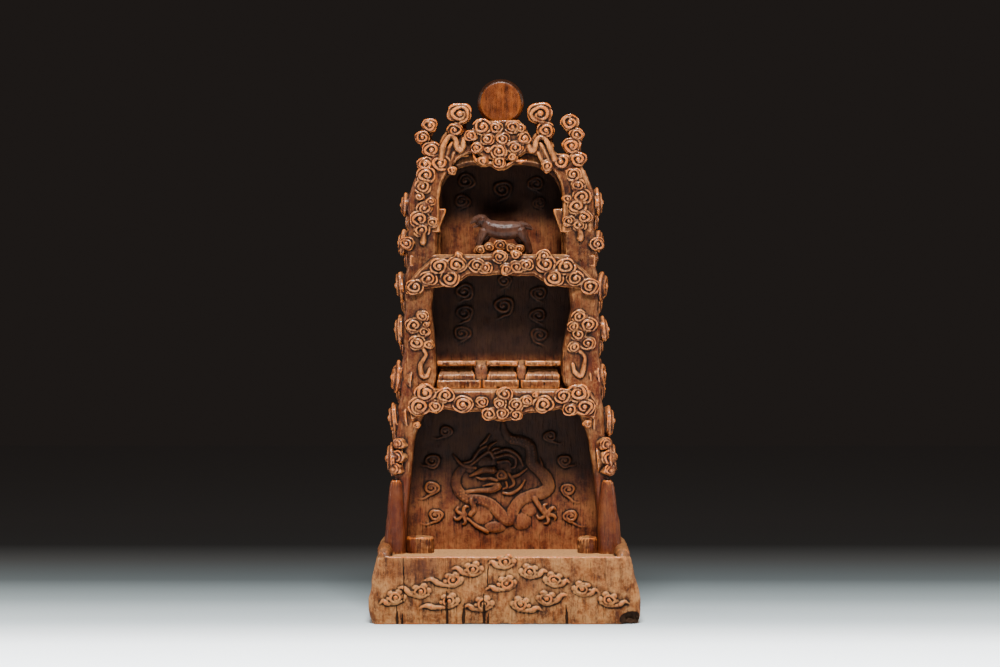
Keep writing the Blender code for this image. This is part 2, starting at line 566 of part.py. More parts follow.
def fused(forms, name):
    """One mesh of every form, each skinned over its rings and capped at both ends."""
    points, faces = [], []
    start = 0
    for rings in forms:
        count, sides, _ = rings.shape
        points.append(rings.reshape(-1, 3))
        for row in range(count - 1):
            low = start + row * sides
            for step in range(sides):
                after = (step + 1) % sides
                faces.append((low + step, low + after, low + sides + after, low + sides + step))
        faces.append(tuple(range(start + sides - 1, start - 1, -1)))
        last = start + (count - 1) * sides
        faces.append(tuple(range(last, last + sides)))
        start += count * sides
    mesh = bpy.data.meshes.new(name)
    mesh.from_pydata(np.vstack(points).tolist(), [], faces)
    mesh.update()
    thing = bpy.data.objects.new(name, mesh)
    bpy.context.scene.collection.objects.link(thing)
    return thing


def floor_cutter():
    """A slab below the floor level, which leaves the underside flat."""
    reach, depth = 0.2, 0.05
    corners = [(x, y, z) for z in (-depth, 0) for y in (-reach, reach) for x in (-reach, reach)]
    faces = [(0, 2, 3, 1), (4, 5, 7, 6), (0, 1, 5, 4), (2, 6, 7, 3), (0, 4, 6, 2), (1, 3, 7, 5)]
    mesh = bpy.data.meshes.new("floor_cutter")
    mesh.from_pydata(corners, [], faces)
    cutter = bpy.data.objects.new("floor_cutter", mesh)
    cutter.hide_render = True
    cutter.display_type = "WIRE"
    bpy.context.scene.collection.objects.link(cutter)
    return cutter


def waxed_hardwood():
    material = bpy.data.materials.new("waxed_hardwood")
    material.use_nodes = True
    shader = material.node_tree.nodes["Principled BSDF"]
    shader.inputs["Base Color"].default_value = (0.235, 0.092, 0.036, 1)
    shader.inputs["Roughness"].default_value = 0.48
    shader.inputs["Metallic"].default_value = 0.0
    return material


def main():
    for thing in list(bpy.data.objects):
        bpy.data.objects.remove(thing, do_unlink=True)
    front = TOWER_FRONT
    band = TOWER_FRONT - FRINGE_FORWARD
    forms = plinth() + plinth_reliefs() + walls() + stumps() + roof() + crest()
    forms += fringe(LOWER_SHELF_Z, outer_half(LOWER_SHELF_Z) - 0.004, 0.022, 0.013, 0.020)
    forms += fringe(UPPER_SHELF_Z, outer_half(UPPER_SHELF_Z) - 0.001, 0.014, 0.014, 0.028)
    forms += clouds_on(FRINGE_CLOUDS_LOWER, LOWER_SHELF_Z, 1, band)
    forms += clouds_on(FRINGE_CLOUDS_UPPER, UPPER_SHELF_Z, 1, band)
    forms += clouds_on(POST_CLOUDS_MIDDLE, LOWER_SHELF_Z, MIDDLE_TIER / 0.1055, front)
    forms += clouds_on(POST_CLOUDS_UPPER, UPPER_SHELF_Z, UPPER_TIER / 0.084, front)
    forms += hanging_ends() + side_bosses() + lugs() + pedestals() + beast() + niche_reliefs() + dragon()
    shrine = fused(forms, "shrine")
    shrine.data.materials.append(waxed_hardwood())
    skin = shrine.modifiers.new("one_piece_of_wood", "REMESH")
    skin.mode = "VOXEL"
    skin.voxel_size = VOXEL
    skin.adaptivity = 0
    thin = shrine.modifiers.new("fewer_faces", "DECIMATE")
    thin.ratio = KEPT_SHARE
    thin.use_collapse_triangulate = True
    underside = shrine.modifiers.new("flat_underside", "BOOLEAN")
    underside.operation = "DIFFERENCE"
    underside.solver = "EXACT"
    underside.object = floor_cutter()


main()
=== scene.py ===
# %% [markdown]
# # A carved wooden altar shrine
# The real shrine is one block of dense hardwood: a plinth, three open niches, two shelves fringed with
# curling clouds and a crest with a plain sun disc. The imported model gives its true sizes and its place.
# Here the carving is worked out again as fine surfaces, and fused into skins that look carved, not assembled.

# %% Load the model that fixes every place
import math
from functools import partial

import bpy
import numpy as np
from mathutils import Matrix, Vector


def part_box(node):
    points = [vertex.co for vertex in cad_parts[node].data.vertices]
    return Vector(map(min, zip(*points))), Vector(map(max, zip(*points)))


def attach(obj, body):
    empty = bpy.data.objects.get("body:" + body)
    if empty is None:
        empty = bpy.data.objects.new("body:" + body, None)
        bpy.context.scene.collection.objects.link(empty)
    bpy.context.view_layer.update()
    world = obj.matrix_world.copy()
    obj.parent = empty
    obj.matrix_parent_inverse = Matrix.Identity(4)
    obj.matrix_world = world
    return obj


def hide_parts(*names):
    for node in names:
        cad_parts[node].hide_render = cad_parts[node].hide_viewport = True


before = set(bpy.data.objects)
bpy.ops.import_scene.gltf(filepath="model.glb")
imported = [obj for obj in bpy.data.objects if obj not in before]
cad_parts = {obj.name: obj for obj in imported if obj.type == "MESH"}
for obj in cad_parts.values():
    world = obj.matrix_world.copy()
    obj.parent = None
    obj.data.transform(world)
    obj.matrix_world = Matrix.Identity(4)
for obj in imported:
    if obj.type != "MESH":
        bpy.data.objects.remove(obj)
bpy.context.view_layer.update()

LOW, HIGH = (np.array(corner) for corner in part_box("shrine"))
MM = 0.001
print("shrine", np.round((HIGH - LOW) / MM, 1), "mm")

# %% [markdown]
# ## Reading places off the photograph
# The carving was measured as columns and rows of the 1000 by 667 photograph. A place is found by following the ray
# through that spot to an upright plane at a known depth, so each form sits on the face that carries it from any side.
# The same numbers set the camera, so both always agree.

# %% The camera's model, and the depths of the shrine's faces
IMAGE_WIDTH, MIDDLE_COLUMN, MIDDLE_ROW = 1000, 500.0, 333.5
FOCAL = 2595.4  # in pixels: a lens of 93 mm on a 36 mm sensor
RELIEF = 3.2 * MM
PLINTH_FRONT = LOW[1] + RELIEF
PLINTH_BACK = HIGH[1]
TOWER_FRONT = PLINTH_FRONT + 25 * MM
BACK_FACE = TOWER_FRONT + 31 * MM
TOWER_BACK = BACK_FACE + 26 * MM
FRINGE_FRONT = TOWER_FRONT - 2 * MM
EYE = np.array([-3.47 * MM, PLINTH_FRONT - 2.0, 273.8 * MM])
DOWN = math.radians(1.4015)
PIXEL = (TOWER_FRONT - EYE[1]) / FOCAL


def seen(columns, rows, depth):
    """Where the ray through a spot of the photograph meets the plane y = depth.

    The ray is forward + across * x + up * the camera's upright, scaled until its y reaches the depth.
    """
    across = (np.asarray(columns, float) - MIDDLE_COLUMN) / FOCAL
    up = (MIDDLE_ROW - np.asarray(rows, float)) / FOCAL
    forward = math.cos(DOWN) + up * math.sin(DOWN)
    rise = up * math.cos(DOWN) - math.sin(DOWN)
    reach = (depth - EYE[1]) / forward
    return np.stack(np.broadcast_arrays(EYE[0] + across * reach, depth, EYE[2] + rise * reach), -1)


def height_of(row, depth):
    return float(seen(500, row, depth)[2])


FLOOR = height_of(556.9, PLINTH_FRONT)
LOWER_SHELF = height_of(389.5, TOWER_FRONT)
UPPER_SHELF = height_of(254.4, TOWER_FRONT)
print("levels", [round(z / MM, 1) for z in (FLOOR, LOWER_SHELF, UPPER_SHELF)], "mm, a pixel", round(PIXEL / MM, 3))

# %% [markdown]
# ## Surfaces as stacks of rings
# Every form is a stack of rings, each ring the same number of points, with its ends closed by fans.
# A cord is a circle carried along a smooth path; a block is a rounded rectangle carried upwards.
# Stacks are plain arrays, so a shape is one formula and no loop over points is needed.

# %% Rings, cords, blocks and slabs
def circle(sides):
    turn = np.linspace(0, 2 * math.pi, sides, endpoint=False)
    return np.cos(turn)[:, None], np.sin(turn)[:, None]


def smooth_path(points, steps=8):
    """A Catmull-Rom curve: between two points, a cubic whose slope at each is half the step past it."""
    points = np.asarray(points, float)
    ends = np.vstack([2 * points[0] - points[1], points, 2 * points[-1] - points[-2]])
    t = np.linspace(0, 1, steps, endpoint=False)[:, None]
    runs = [
        0.5 * (2 * b + (c - a) * t + (2 * a - 5 * b + 4 * c - d) * t**2 + (3 * b - a - 3 * c + d) * t**3)
        for a, b, c, d in zip(ends, ends[1:], ends[2:], ends[3:])
    ]
    return np.vstack(runs + [points[-1:]])


def cord(path, radii, sides=10, flat=1.0):
    """A round bar: ring = point + r * cos * side + r * sin * over, with r run evenly along the path."""
    path = np.asarray(path, float)
    thick = np.interp(np.linspace(0, 1, len(path)), np.linspace(0, 1, len(radii)), radii)
    along = np.gradient(path, axis=0)
    along /= np.linalg.norm(along, axis=1)[:, None] + 1e-12
    side = np.cross(along, (0.031, 1.0, 0.017))
    side /= np.linalg.norm(side, axis=1)[:, None] + 1e-12
    over = np.cross(side, along)
    cos, sin = circle(sides)
    rings = path[:, None] + thick[:, None, None] * (cos * side[:, None] + flat * sin * over[:, None])
    start = path[0] - along[0] * thick[0] * 0.6 + 0.55 * (rings[0] - path[0])
    stop = path[-1] + along[-1] * thick[-1] * 0.6 + 0.55 * (rings[-1] - path[-1])
    return np.concatenate([start[None], rings, stop[None]])


def ball(middle, half, rows=9, sides=14):
    """An ellipsoid of rings: across x = lie * a, with the ring's radii shrunk by sqrt(1 - lie^2)."""
    half = np.broadcast_to(np.asarray(half, float), (3,))
    lie = np.sin(np.linspace(-1.45, 1.45, rows))[:, None, None]
    swell = np.sqrt(1 - lie**2)
    cos, sin = circle(sides)
    shape = np.concatenate([lie * half[0] + 0 * cos, swell * half[1] * cos, swell * half[2] * sin], -1)
    return np.asarray(middle) + shape


def upright(levels, arc=5):
    """Rounded rectangles stacked upwards: each level is height, left, right, front, back, corner radius."""
    z, left, right, front, back, bend = (column[:, None] for column in np.asarray(levels, float).T)
    turn = np.linspace(0, math.pi / 2, arc)
    corners = ((right - bend, back - bend, 0), (left + bend, back - bend, 1),
               (left + bend, front + bend, 2), (right - bend, front + bend, 3))
    runs = [
        np.stack([x + bend * np.cos(turn + q * math.pi / 2), y + bend * np.sin(turn + q * math.pi / 2),
                  z + 0 * turn], -1)
        for x, y, q in corners
    ]
    return np.concatenate(runs, axis=1)


def slab(first, second, front, back, edge=1.2 * MM):
    """A slab between two curves in the x-z plane, carried from front to back, its front edges eased."""
    first, second = np.asarray(first, float), np.asarray(second, float)
    inward = (second - first) / (np.linalg.norm(second - first, axis=1)[:, None] + 1e-12) * edge
    columns = [
        (first, front + edge), (first + inward, front), (second - inward, front),
        (second, front + edge), (second, back), (first, back),
    ]
    return np.stack([np.stack([c[:, 0], np.full(len(c), y), c[:, 1]], -1) for c, y in columns], axis=1)


def levels_of(rows, depth, front, back, bend):
    """Levels of an upright block: each row of the photograph with its left and right column."""
    return [(height_of(row, depth), *seen((left, right), row, depth)[:, 0], front, back, bend)
            for row, left, right in rows]


def outline(columns_rows, depth, count=40):
    """Points of a smooth curve through spots of the photograph, in the x-z plane at a depth."""
    spots = np.asarray(columns_rows, float)
    run = np.append(0, np.cumsum(np.linalg.norm(np.diff(spots, axis=0), axis=1)))
    places = seen(*spots.T, depth)
    steps = np.linspace(0, run[-1], count)
    return np.stack([np.interp(steps, run, places[:, 0]), np.interp(steps, run, places[:, 2])], -1)


print("a cord ring stack", cord(smooth_path([(0, 0, 0), (0, 0, 1), (1, 0, 1)]), (0.1, 0.2)).shape)

# %% [markdown]
# ## The curling cloud
# The whole shrine is covered with one motif, the curled cloud: a low lobed boss, a round knob in its
# middle, and a cord that winds out from the knob for a turn or two and often runs off as a tail.
# Carving the cord as a real tube on a spiral gives the sharp groove beside it that catches the dark.

# %% One curling cloud, in any direction
dice = np.random.default_rng(27)


def facing_axes(facing):
    """The outward direction of a face, and its own across and up."""
    facing = np.asarray(facing, float) / np.linalg.norm(facing)
    across = np.cross((0, 0, 1.0), facing)
    across /= np.linalg.norm(across)
    return facing, across, np.cross(facing, across)


def curl(middle, radius, proud=3.4 * MM, root=7 * MM, facing=(0, -1, 0), hand=None, turns=None, tail=None,
         petals=1, core=0.30, bar=1.0):
    """Boss, knob and spiral cord, as stacks of rings.

    Boss: rings of radius r * (1 + lobes), dropped by a shallow dome. Cord: angle = start + hand * turn
    while its distance from the middle grows from core * r to 0.82 r, a little lobed three ways; it leaves
    the last turn as a tail.
    Petals: shorter cords over the last turn, like brows, that fill the gap to the next cloud.
    """
    facing, across, lift = facing_axes(facing)
    middle = np.asarray(middle, float)
    hand = hand or dice.choice((-1, 1))
    turns = turns or dice.uniform(0.95, 1.2) + (0.25 if radius > 6.5 * MM else 0)
    lean, swell, away = dice.uniform(0, 2 * math.pi, 3)
    if tail is None:
        slant = away / 6 - 0.5
        tail = 0.5 * radius * np.array((math.copysign(math.cos(slant), away - 3), math.sin(slant)))
    wide, tall = (1.11, 0.94) if abs(tail[0]) > abs(tail[1]) else (0.97, 1.05)

    def around(angle, out, rise):
        """Points at an angle and a distance from the middle of the face, and a height over it."""
        flat = (out * np.cos(angle))[:, None] * across * wide + (out * np.sin(angle))[:, None] * lift * tall
        return middle + flat + np.reshape(rise, (-1, 1)) * facing

    cos, sin = circle(28)
    turn = np.linspace(0, 2 * math.pi, 28, endpoint=False)[:, None]
    lobes = 1 + 0.07 * np.cos(3 * turn + lean) + 0.05 * np.cos(5 * turn + swell)
    share = np.array((1.16, 1.16, 1.10, 0.99, 0.80, 0.45, 0.15))[:, None, None]
    rise = np.array((-root, -0.10, 0.04, 0.15, 0.19, 0.21, 0.22))[:, None, None]
    rise[1:] *= proud
    boss = middle + radius * share * lobes * (cos * across * wide + sin * lift * tall) + rise * facing
    end = math.atan2(tail[1], tail[0]) - hand * math.pi / 2
    start = end - hand * 2 * math.pi * turns
    t = np.linspace(0, 1, 52)
    angle = start + (end - start) * t
    out = radius * (core + (0.82 - core) * t ** (0.45 + 2.2 * (0.30 - core)))
    path = around(angle, out * (1 + 0.10 * t * np.cos(3 * angle + lean)), (0.44 - 0.10 * t) * proud)
    length = math.hypot(*tail)
    ahead = (across * tail[0] + lift * tail[1]) / length
    wave = hand * (np.cross(facing, ahead))
    share = np.linspace(0, 1, 14)[1:, None]
    path = np.vstack([path, path[-1] + ahead * length * share - wave * 0.09 * length * (1 - np.cos(share * 5.2))
                      - facing * 0.25 * proud * share])
    thick = [bar * radius * k for k in (0.15, 0.18, 0.19, 0.20, 0.20, 0.19, 0.14, 0.05)]
    knob = middle + 0.42 * proud * facing
    stacks = [boss, cord(path, thick, 8), ball(knob, radius * core * 1.1, 9, 12)]
    for number in range(2 * petals if radius > 3.6 * MM else 0):
        side = math.pi * (0.36, 0.72, 1.35, 1.85)[number] + dice.uniform(-0.35, 0.35)
        angle = side + np.linspace(-0.85, 0.85, 16) * (-1) ** number
        out = radius * (1.16 + 0.05 * np.cos(4 * angle + lean) - 0.10 * np.linspace(0, 1, 16))
        stacks.append(cord(around(angle, out, 0.20 * proud), [radius * k for k in (0.04, 0.14, 0.17, 0.15, 0.05)], 8))
    return stacks


def mushroom(foot, radius, proud, facing):
    """A boss that flares like a mushroom: ring radii fall to a waist and swell to a thick round cap."""
    facing, across, lift = facing_axes(facing)
    share = np.array((1.10, 0.90, 0.82, 0.86, 0.95, 1.0, 0.99, 0.92, 0.78, 0.4))[:, None, None]
    rise = np.array((-0.7, 0.0, 0.20, 0.40, 0.58, 0.72, 0.82, 0.91, 0.96, 1.0))[:, None, None]
    cos, sin = circle(32)
    turn = np.linspace(0, 2 * math.pi, 32, endpoint=False)[:, None]
    lobes = 1 + 0.045 * np.cos(3 * turn + radius * 4000) + 0.03 * np.cos(5 * turn + proud * 9000)
    return np.asarray(foot) + radius * share * lobes * (cos * across + sin * lift) + rise * proud * facing


def curls(spots, depth, **kind):
    """A curling cloud at each column, row and radius of the photograph."""
    stacks = []
    for column, row, radius in spots:
        stacks += curl(seen(column, row, depth), 0.9 * radius * PIXEL, **kind)
    return stacks


print("one cloud has", sum(s.shape[0] * s.shape[1] for s in curl((0, 0, 0), 5 * MM)), "points")

# %% [markdown]
# ## Fusing, softening and wearing
# Overlapping stacks are skinned again as one surface of small even squares, which is how the union of
# many forms looks when it is cut from one block. Then the surface is moved a little: uneven tool work,
# fibres that stand up along the grain and drying cracks. Last, each point is told how much it stands
# out or lies in, and the squares are thinned where the surface is plain.

# %% Noise, neighbours and the fused skin
def noise(points, seed):
    """Smooth random values between -1 and 1: a lattice of random numbers, blended by 3t^2 - 2t^3."""
    lattice = np.random.default_rng(seed).uniform(-1, 1, (32, 32, 32)).astype(np.float32)
    cell = np.floor(points).astype(int)
    t = points - cell
    t = t * t * (3 - 2 * t)
    total = 0
    for corner in np.ndindex(2, 2, 2):
        i, j, k = ((cell + corner) % 32).T
        weight = np.prod(np.where(corner, t, 1 - t), axis=1)
        total = total + weight * lattice[i, j, k]
    return total


def neighbour_mean(values, edges, count):
    """Each point's mean over the points it shares an edge with."""
    first, second = edges.T
    links = np.bincount(first, minlength=count) + np.bincount(second, minlength=count)
    total = [np.bincount(first, v[second], count) + np.bincount(second, v[first], count) for v in values.T]
    return np.stack(total, -1) / np.maximum(links, 1)[:, None]


def mesh_of(name, stacks):
    """One mesh of many ring stacks: quads between rings and a fan of triangles at each end."""
    points, quads, fans, start = [], [], [], 0
    for rings in stacks:
        rows, sides, _ = rings.shape
        here = np.arange(sides)
        after = (here + 1) % sides
        low = (np.arange(rows - 1) * sides)[:, None]
        quads.append(start + np.stack([low + here, low + after, low + sides + after, low + sides + here], -1)
                     .reshape(-1, 4))
        first, last, top = rows * sides, rows * sides + 1, (rows - 1) * sides
        fans.append(start + np.stack([after, here, np.full(sides, first)], -1))
        fans.append(start + np.stack([top + here, top + after, np.full(sides, last)], -1))
        points += [rings.reshape(-1, 3), rings[:1].mean(1), rings[-1:].mean(1)]
        start += rows * sides + 2
    points, quads, fans = np.vstack(points), np.vstack(quads), np.vstack(fans)
    mesh = bpy.data.meshes.new(name)
    mesh.vertices.add(len(points))
    mesh.vertices.foreach_set("co", points.astype(np.float32).ravel())
    mesh.loops.add(quads.size + fans.size)
    mesh.loops.foreach_set("vertex_index", np.append(quads.ravel(), fans.ravel()).astype(np.int32))
    mesh.polygons.add(len(quads) + len(fans))
    starts = np.append(np.arange(len(quads)) * 4, quads.size + np.arange(len(fans)) * 3)
    mesh.polygons.foreach_set("loop_start", starts.astype(np.int32))
    mesh.update(calc_edges=True)
    return mesh


def evaluated(thing):
    graph = bpy.context.evaluated_depsgraph_get()
    mesh = bpy.data.meshes.new_from_object(thing.evaluated_get(graph), preserve_all_data_layers=True,
                                           depsgraph=graph)
    thing.modifiers.clear()
    thing.data = mesh
    return mesh


def read(collection, what, kind, width):
    """One property of a mesh's points or edges as an array of rows."""
    values = np.empty(len(collection) * width, kind)
    collection.foreach_get(what, values)
    return values.reshape(-1, width)


SUN = (500.7, 102.0)
SUN_PLACE = seen(*SUN, TOWER_FRONT)
# Per storey, the share of its height where strong painted shade begins, and over which it grows to full
SHADE_STARTS, SHADE_LENGTHS = np.array((0.08, 0.155, 0.10)), np.array((0.55, 0.14, 0.35))
# Heights on the tower and the painted shade at each: darkening by height that dims the tower against the plinth
SHADE_HEIGHTS = (0.052, 0.06, 0.14, 0.175, 0.180, 0.197, 0.205, 0.27, 0.30, 0.34, 0.36)
SHADE_SHARES = (0, 0.25, 0.16, 0.24, 0.02, 0.02, 0.38, 0.40, 0.42, 0.38, 0.07)
# Stains on the plinth: middle and level, half width and half height in mm, and how dark
STAINS = ((-66, 44, 27, 10, 0.95), (20, 31, 12, 6, 0.6), (73, 41, 24, 8, 0.45))


def painted_shade(points):
    """Painted shade: a little over the tower by height, strong deep under each niche's ceiling, and a painted dark
    reflection on the upper part of the sun's bevel.
    """
    x, y, z = points.T
    # Painted shade deep in each niche, growing to full under its ceiling
    deep = np.clip((y - TOWER_FRONT - 3 * MM) / (9 * MM), 0, 1) * (y < BACK_FACE + 1.5 * MM)
    floors = np.array((FLOOR, LOWER_SHELF, UPPER_SHELF, 0.375))
    inner = np.interp(z, (FLOOR, 0.17, 0.18, 0.28, 0.29, 0.34, 0.37), (79, 74, 62, 57, 50, 48, 30)) * MM
    tier = np.clip(np.searchsorted(floors - 4 * MM, z) - 1, 0, 2)
    high = (z - floors[tier]) / (floors[tier + 1] - 8 * MM - floors[tier])
    rise = np.clip((high - SHADE_STARTS[tier]) / SHADE_LENGTHS[tier], 0, 1)
    inside = deep * (np.abs(x + 1.5 * MM) < inner) * (z > FLOOR) * rise * rise * (3 - 2 * rise)
    # Painted dark reflection on the upper part of the sun's bevel, on its front
    from_sun = np.hypot(x - SUN_PLACE[0], z - SUN_PLACE[2]) / MM
    bevel = np.clip((from_sun - 14.6) / 1.2, 0, 1) * np.clip((z - SUN_PLACE[2]) / (9 * MM) + 0.7, 0, 1)
    bevel *= (from_sun < 19) * (z > SUN_PLACE[2] - 12 * MM) * (y < TOWER_FRONT + 7 * MM)
    # Painted shade by height over the tower
    height_shade = np.interp(z, SHADE_HEIGHTS, SHADE_SHARES)
    return np.maximum(np.maximum(inside, height_shade), bevel)


def handled(points):
    """Where hands have worn the dust off: the low posts, the outer flanks and a stain on the plinth."""
    x, y, z = points.T
    x = x + 1.4 * MM
    flank = np.interp(z, (0.05, 0.12, 0.18, 0.28, 0.34, 0.36), (91, 80, 77, 74, 68, 61)) * MM
    outer = 0.6 * np.clip((np.abs(x) - flank) / (4 * MM) + 0.5, 0, 1) * (z > FLOOR + 5 * MM)
    post = (z > FLOOR) * (z < FLOOR + 60 * MM) * (y < TOWER_FRONT + 18 * MM) * (np.abs(x) > 68 * MM)
    worn = np.maximum(outer, post * np.where(x < 0, 0.95, 0.8))
    for middle, level, wide, tall, dark in STAINS:
        stain = np.exp(-(((x / MM - middle) / wide) ** 2) - ((z / MM - level) / tall) ** 2)
        worn = np.maximum(worn, dark * stain * (y < PLINTH_FRONT + 6 * MM))
    return worn


def fused(name, stacks, grain=0.55 * MM, most=150_000, soften=1, cracks=(), wear=(), rough=1.0, deep=40):
    """The stacks as one carved skin of at most so many triangles, with its wear and its painted shade written on its
    points.
    """
    thing = bpy.data.objects.new(name, mesh_of(name, stacks))
    bpy.context.scene.collection.objects.link(thing)
    skin = thing.modifiers.new("skin", "REMESH")
    skin.mode = "VOXEL"
    skin.voxel_size = grain
    mesh = evaluated(thing)
    points = read(mesh.vertices, "co", np.float32, 3).astype(float)
    normals = read(mesh.vertices, "normal", np.float32, 3)
    edges = read(mesh.edges, "vertices", np.int32, 2)
    count = len(points)
    for _ in range(soften):
        points += 0.5 * (neighbour_mean(points, edges, count) - points)
    work = 0.16 * noise(points / (7 * MM), 3) + 0.09 * noise(points / (2.6 * MM), 5)
    fibre = 0.075 * noise(points / np.array((0.9, 0.9, 9)) / MM, 7)
    points += normals * ((work + fibre) * rough * MM)[:, None]
    for worn in wear:
        points += worn(points, normals)
    sound = points.copy()
    for crack in cracks:
        points += crack(points, normals)
    lost = np.linalg.norm(points - sound, axis=1) / (0.35 * MM)
    points = np.clip(points, LOW, HIGH)
    ridge, smooth = np.zeros(count), sound.copy()
    for step in range(deep):
        smooth += 0.6 * (neighbour_mean(smooth, edges, count) - smooth)
        if step == 5:
            ridge = np.sum((sound - smooth) * normals, axis=1) / (0.22 * MM) - lost
    hollow = np.sum((sound - smooth) * normals, axis=1) / (0.8 * MM)
    mesh.vertices.foreach_set("co", points.astype(np.float32).ravel())
    layers = {"ridge": ridge, "hollow": hollow, "painted_shade": painted_shade(points), "handled": handled(points)}
    for label, values in layers.items():
        attribute = mesh.attributes.new(label, "FLOAT", "POINT")
        attribute.data.foreach_set("value", np.clip(values, -1, 1).astype(np.float32))
    thin = thing.modifiers.new("thin", "DECIMATE")
    thin.ratio = min(1.0, most / (2 * len(mesh.polygons)))
    thin.use_collapse_triangulate = True
    squares = len(mesh.polygons)
    mesh = evaluated(thing)
    mesh.polygons.foreach_set("use_smooth", np.ones(len(mesh.polygons), bool))
    mesh.update()
    print(f"{name}: {len(stacks)} forms, {squares} squares, {len(mesh.polygons)} faces kept")
    return thing


# %% [markdown]
# ## The plinth
# The plinth is the widest part: a battered block, a little swollen near its foot, with a raised round
# lip at each end, fourteen small clouds blown away from the middle, and cracks that drying opened
# from the foot upwards. Its lower right corner has a broken hollow.

# %% Plinth
PLINTH_SIDES = (
    (624.3, 372.0, 638.6), (618, 369.3, 640.2), (611, 367.8, 641.0), (600, 368.0, 641.2), (590, 370.3, 639.2),
    (578, 371.8, 635.8), (566, 374.6, 633.0), (559, 376.3, 631.2), (557.0, 378.2, 629.6),
)
PLINTH_CLOUDS = (
    (395.8, 597.5, 379, 604), (420.8, 591.3, 398, 588), (453, 580, 424, 580.5), (473, 569.4, 451.6, 569),
    (449.4, 601, 418, 609), (483.8, 603.8, 463, 608), (505.5, 561.8, 488, 563.6), (506.5, 583.3, 485, 590),
    (529.4, 571.8, 547.6, 572), (553.8, 580, 570, 582.6), (582.1, 589, 599, 592), (608.8, 600, 630, 604),
    (546.7, 598.6, 567, 595), (520.8, 604.4, 543, 611),
)
PLINTH_CRACKS = (
    (396.7, 606, 624, 1.0), (402, 612, 624, 0.8), (446.7, 590, 624, 0.9), (463.7, 603, 624, 1.2),
    (483.8, 593, 624, 0.9), (488.5, 612, 624, 0.8), (566.3, 604, 624, 1.0), (403.4, 557, 600, 0.45), (488, 560, 585, 0.4),
)


def plinth_stacks():
    levels = []
    for row, left, right in PLINTH_SIDES:
        z = height_of(row, PLINTH_FRONT) if row < 624 else 0.0
        lean = 1.5 * MM * z / FLOOR
        x0, x1 = seen((left, right), row, PLINTH_FRONT)[:, 0]
        levels.append((z, x0, x1, PLINTH_FRONT + lean, PLINTH_BACK - lean, 7 * MM))
    stacks = [upright(levels, 6)]
    for column, row, sign in ((384.2, 552.6, 1), (622.4, 553.6, -1)):
        x, _, z = seen(column, row, PLINTH_FRONT + 8 * MM)
        path = [(x + 3 * MM * sign, PLINTH_FRONT + 4.2 * MM, z - 6.5 * MM), (x, PLINTH_FRONT + 8 * MM, z - 2.0 * MM),
                (x, PLINTH_FRONT + 16 * MM, z), (x, 0, z), (x, PLINTH_BACK - 12 * MM, z),
                (x, PLINTH_BACK - 8.5 * MM, z - 1.5 * MM)]
        stacks.append(cord(smooth_path(path), (3.4 * MM, 5.6 * MM, 6.0 * MM, 6.0 * MM, 5.6 * MM), 16))
    for column, row, end_column, end_row in PLINTH_CLOUDS:
        z = height_of(row, PLINTH_FRONT)
        middle = seen(column, row, PLINTH_FRONT + 1.5 * MM * z / FLOOR)
        tail = ((end_column - column) * 0.7706 * MM, (row - end_row) * 0.7706 * MM)
        hand = 1 if tail[0] < 0 else -1
        stacks += plinth_cloud(middle, tail, hand)
    return stacks


def plinth_cloud(middle, tail, hand):
    """A small cloud: spiral head, two outer lobes on the windward side and a tail that waves to its tip."""
    blow = math.copysign(1, tail[0])
    head = 5.0 * MM
    stacks = curl(middle, head, 2.8 * MM, 4 * MM, hand=hand, turns=1.15, petals=0)
    for off, drop, size in ((-1.10, 0.10, 0.62), (-0.45, 0.80, 0.60), (0.75, 0.55, 0.56), (1.15, -0.2, 0.40)):
        lobe = middle + np.array([off * blow * head, 0, drop * head])
        stacks.append(ball(lobe, (size * head, 1.5 * MM, size * head * 0.8)))
    bottom = middle + np.array((0, 0, -0.85 * head))
    path = smooth_path([
        middle + np.array((-1.25 * blow * head, 0, -0.35 * head)), bottom,
        middle + np.array((0.45 * tail[0], 0, -0.55 * head + 0.35 * tail[1])),
        middle + np.array((0.75 * tail[0], 0, 0.15 * head + 0.7 * tail[1])),
        middle + np.array((tail[0], 0, tail[1])),
    ])
    stacks.append(cord(path, (1.2 * MM, 1.6 * MM, 1.5 * MM, 2.3 * MM, 1.5 * MM, 0.5 * MM), 10, 1.0))
    return stacks


def crack_down(column, top, bottom, width):
    """A drying crack: points near its wavering line are pushed in by depth * exp(-(distance / width)^2)."""
    line = seen(column, 0.5 * (top + bottom), PLINTH_FRONT)[0]
    high, low = height_of(top, PLINTH_FRONT), height_of(bottom, PLINTH_FRONT) - 2 * MM

    def push(points, normals):
        x, y, z = points.T
        waver = line + 0.35 * MM * np.sin(z / (5.1 * MM) + column) + 0.12 * MM * np.sin(z / (1.1 * MM))
        wide = width * 0.62 * MM * np.clip((high - z) / (9 * MM), 0.35, 1)
        near = np.exp(-(((x - waver) / wide) ** 2)) * (z < high) * (z > low) * (y < PLINTH_FRONT + 5 * MM)
        fade = np.clip((high - z) / (4 * MM), 0, 1)
        return np.stack([0 * x, 1.7 * MM * near * fade * np.clip(-normals[:, 1], 0, 1), 0 * x], -1)

    return push


def broken_corner(points, normals):
    """The loss at the lower right: points inside a lying egg are drawn towards its surface."""
    middle = seen(633, 620, PLINTH_FRONT)
    reach = (points - middle) / (np.array((10.5, 7, 7)) * MM)
    inside = np.clip(1 - np.linalg.norm(reach, axis=1), 0, 1)
    ragged = 1 + 0.5 * noise(points / (1.8 * MM), 13)
    return np.stack([-1.5 * MM * inside * ragged, 4.2 * MM * inside * ragged, 0 * inside], -1)


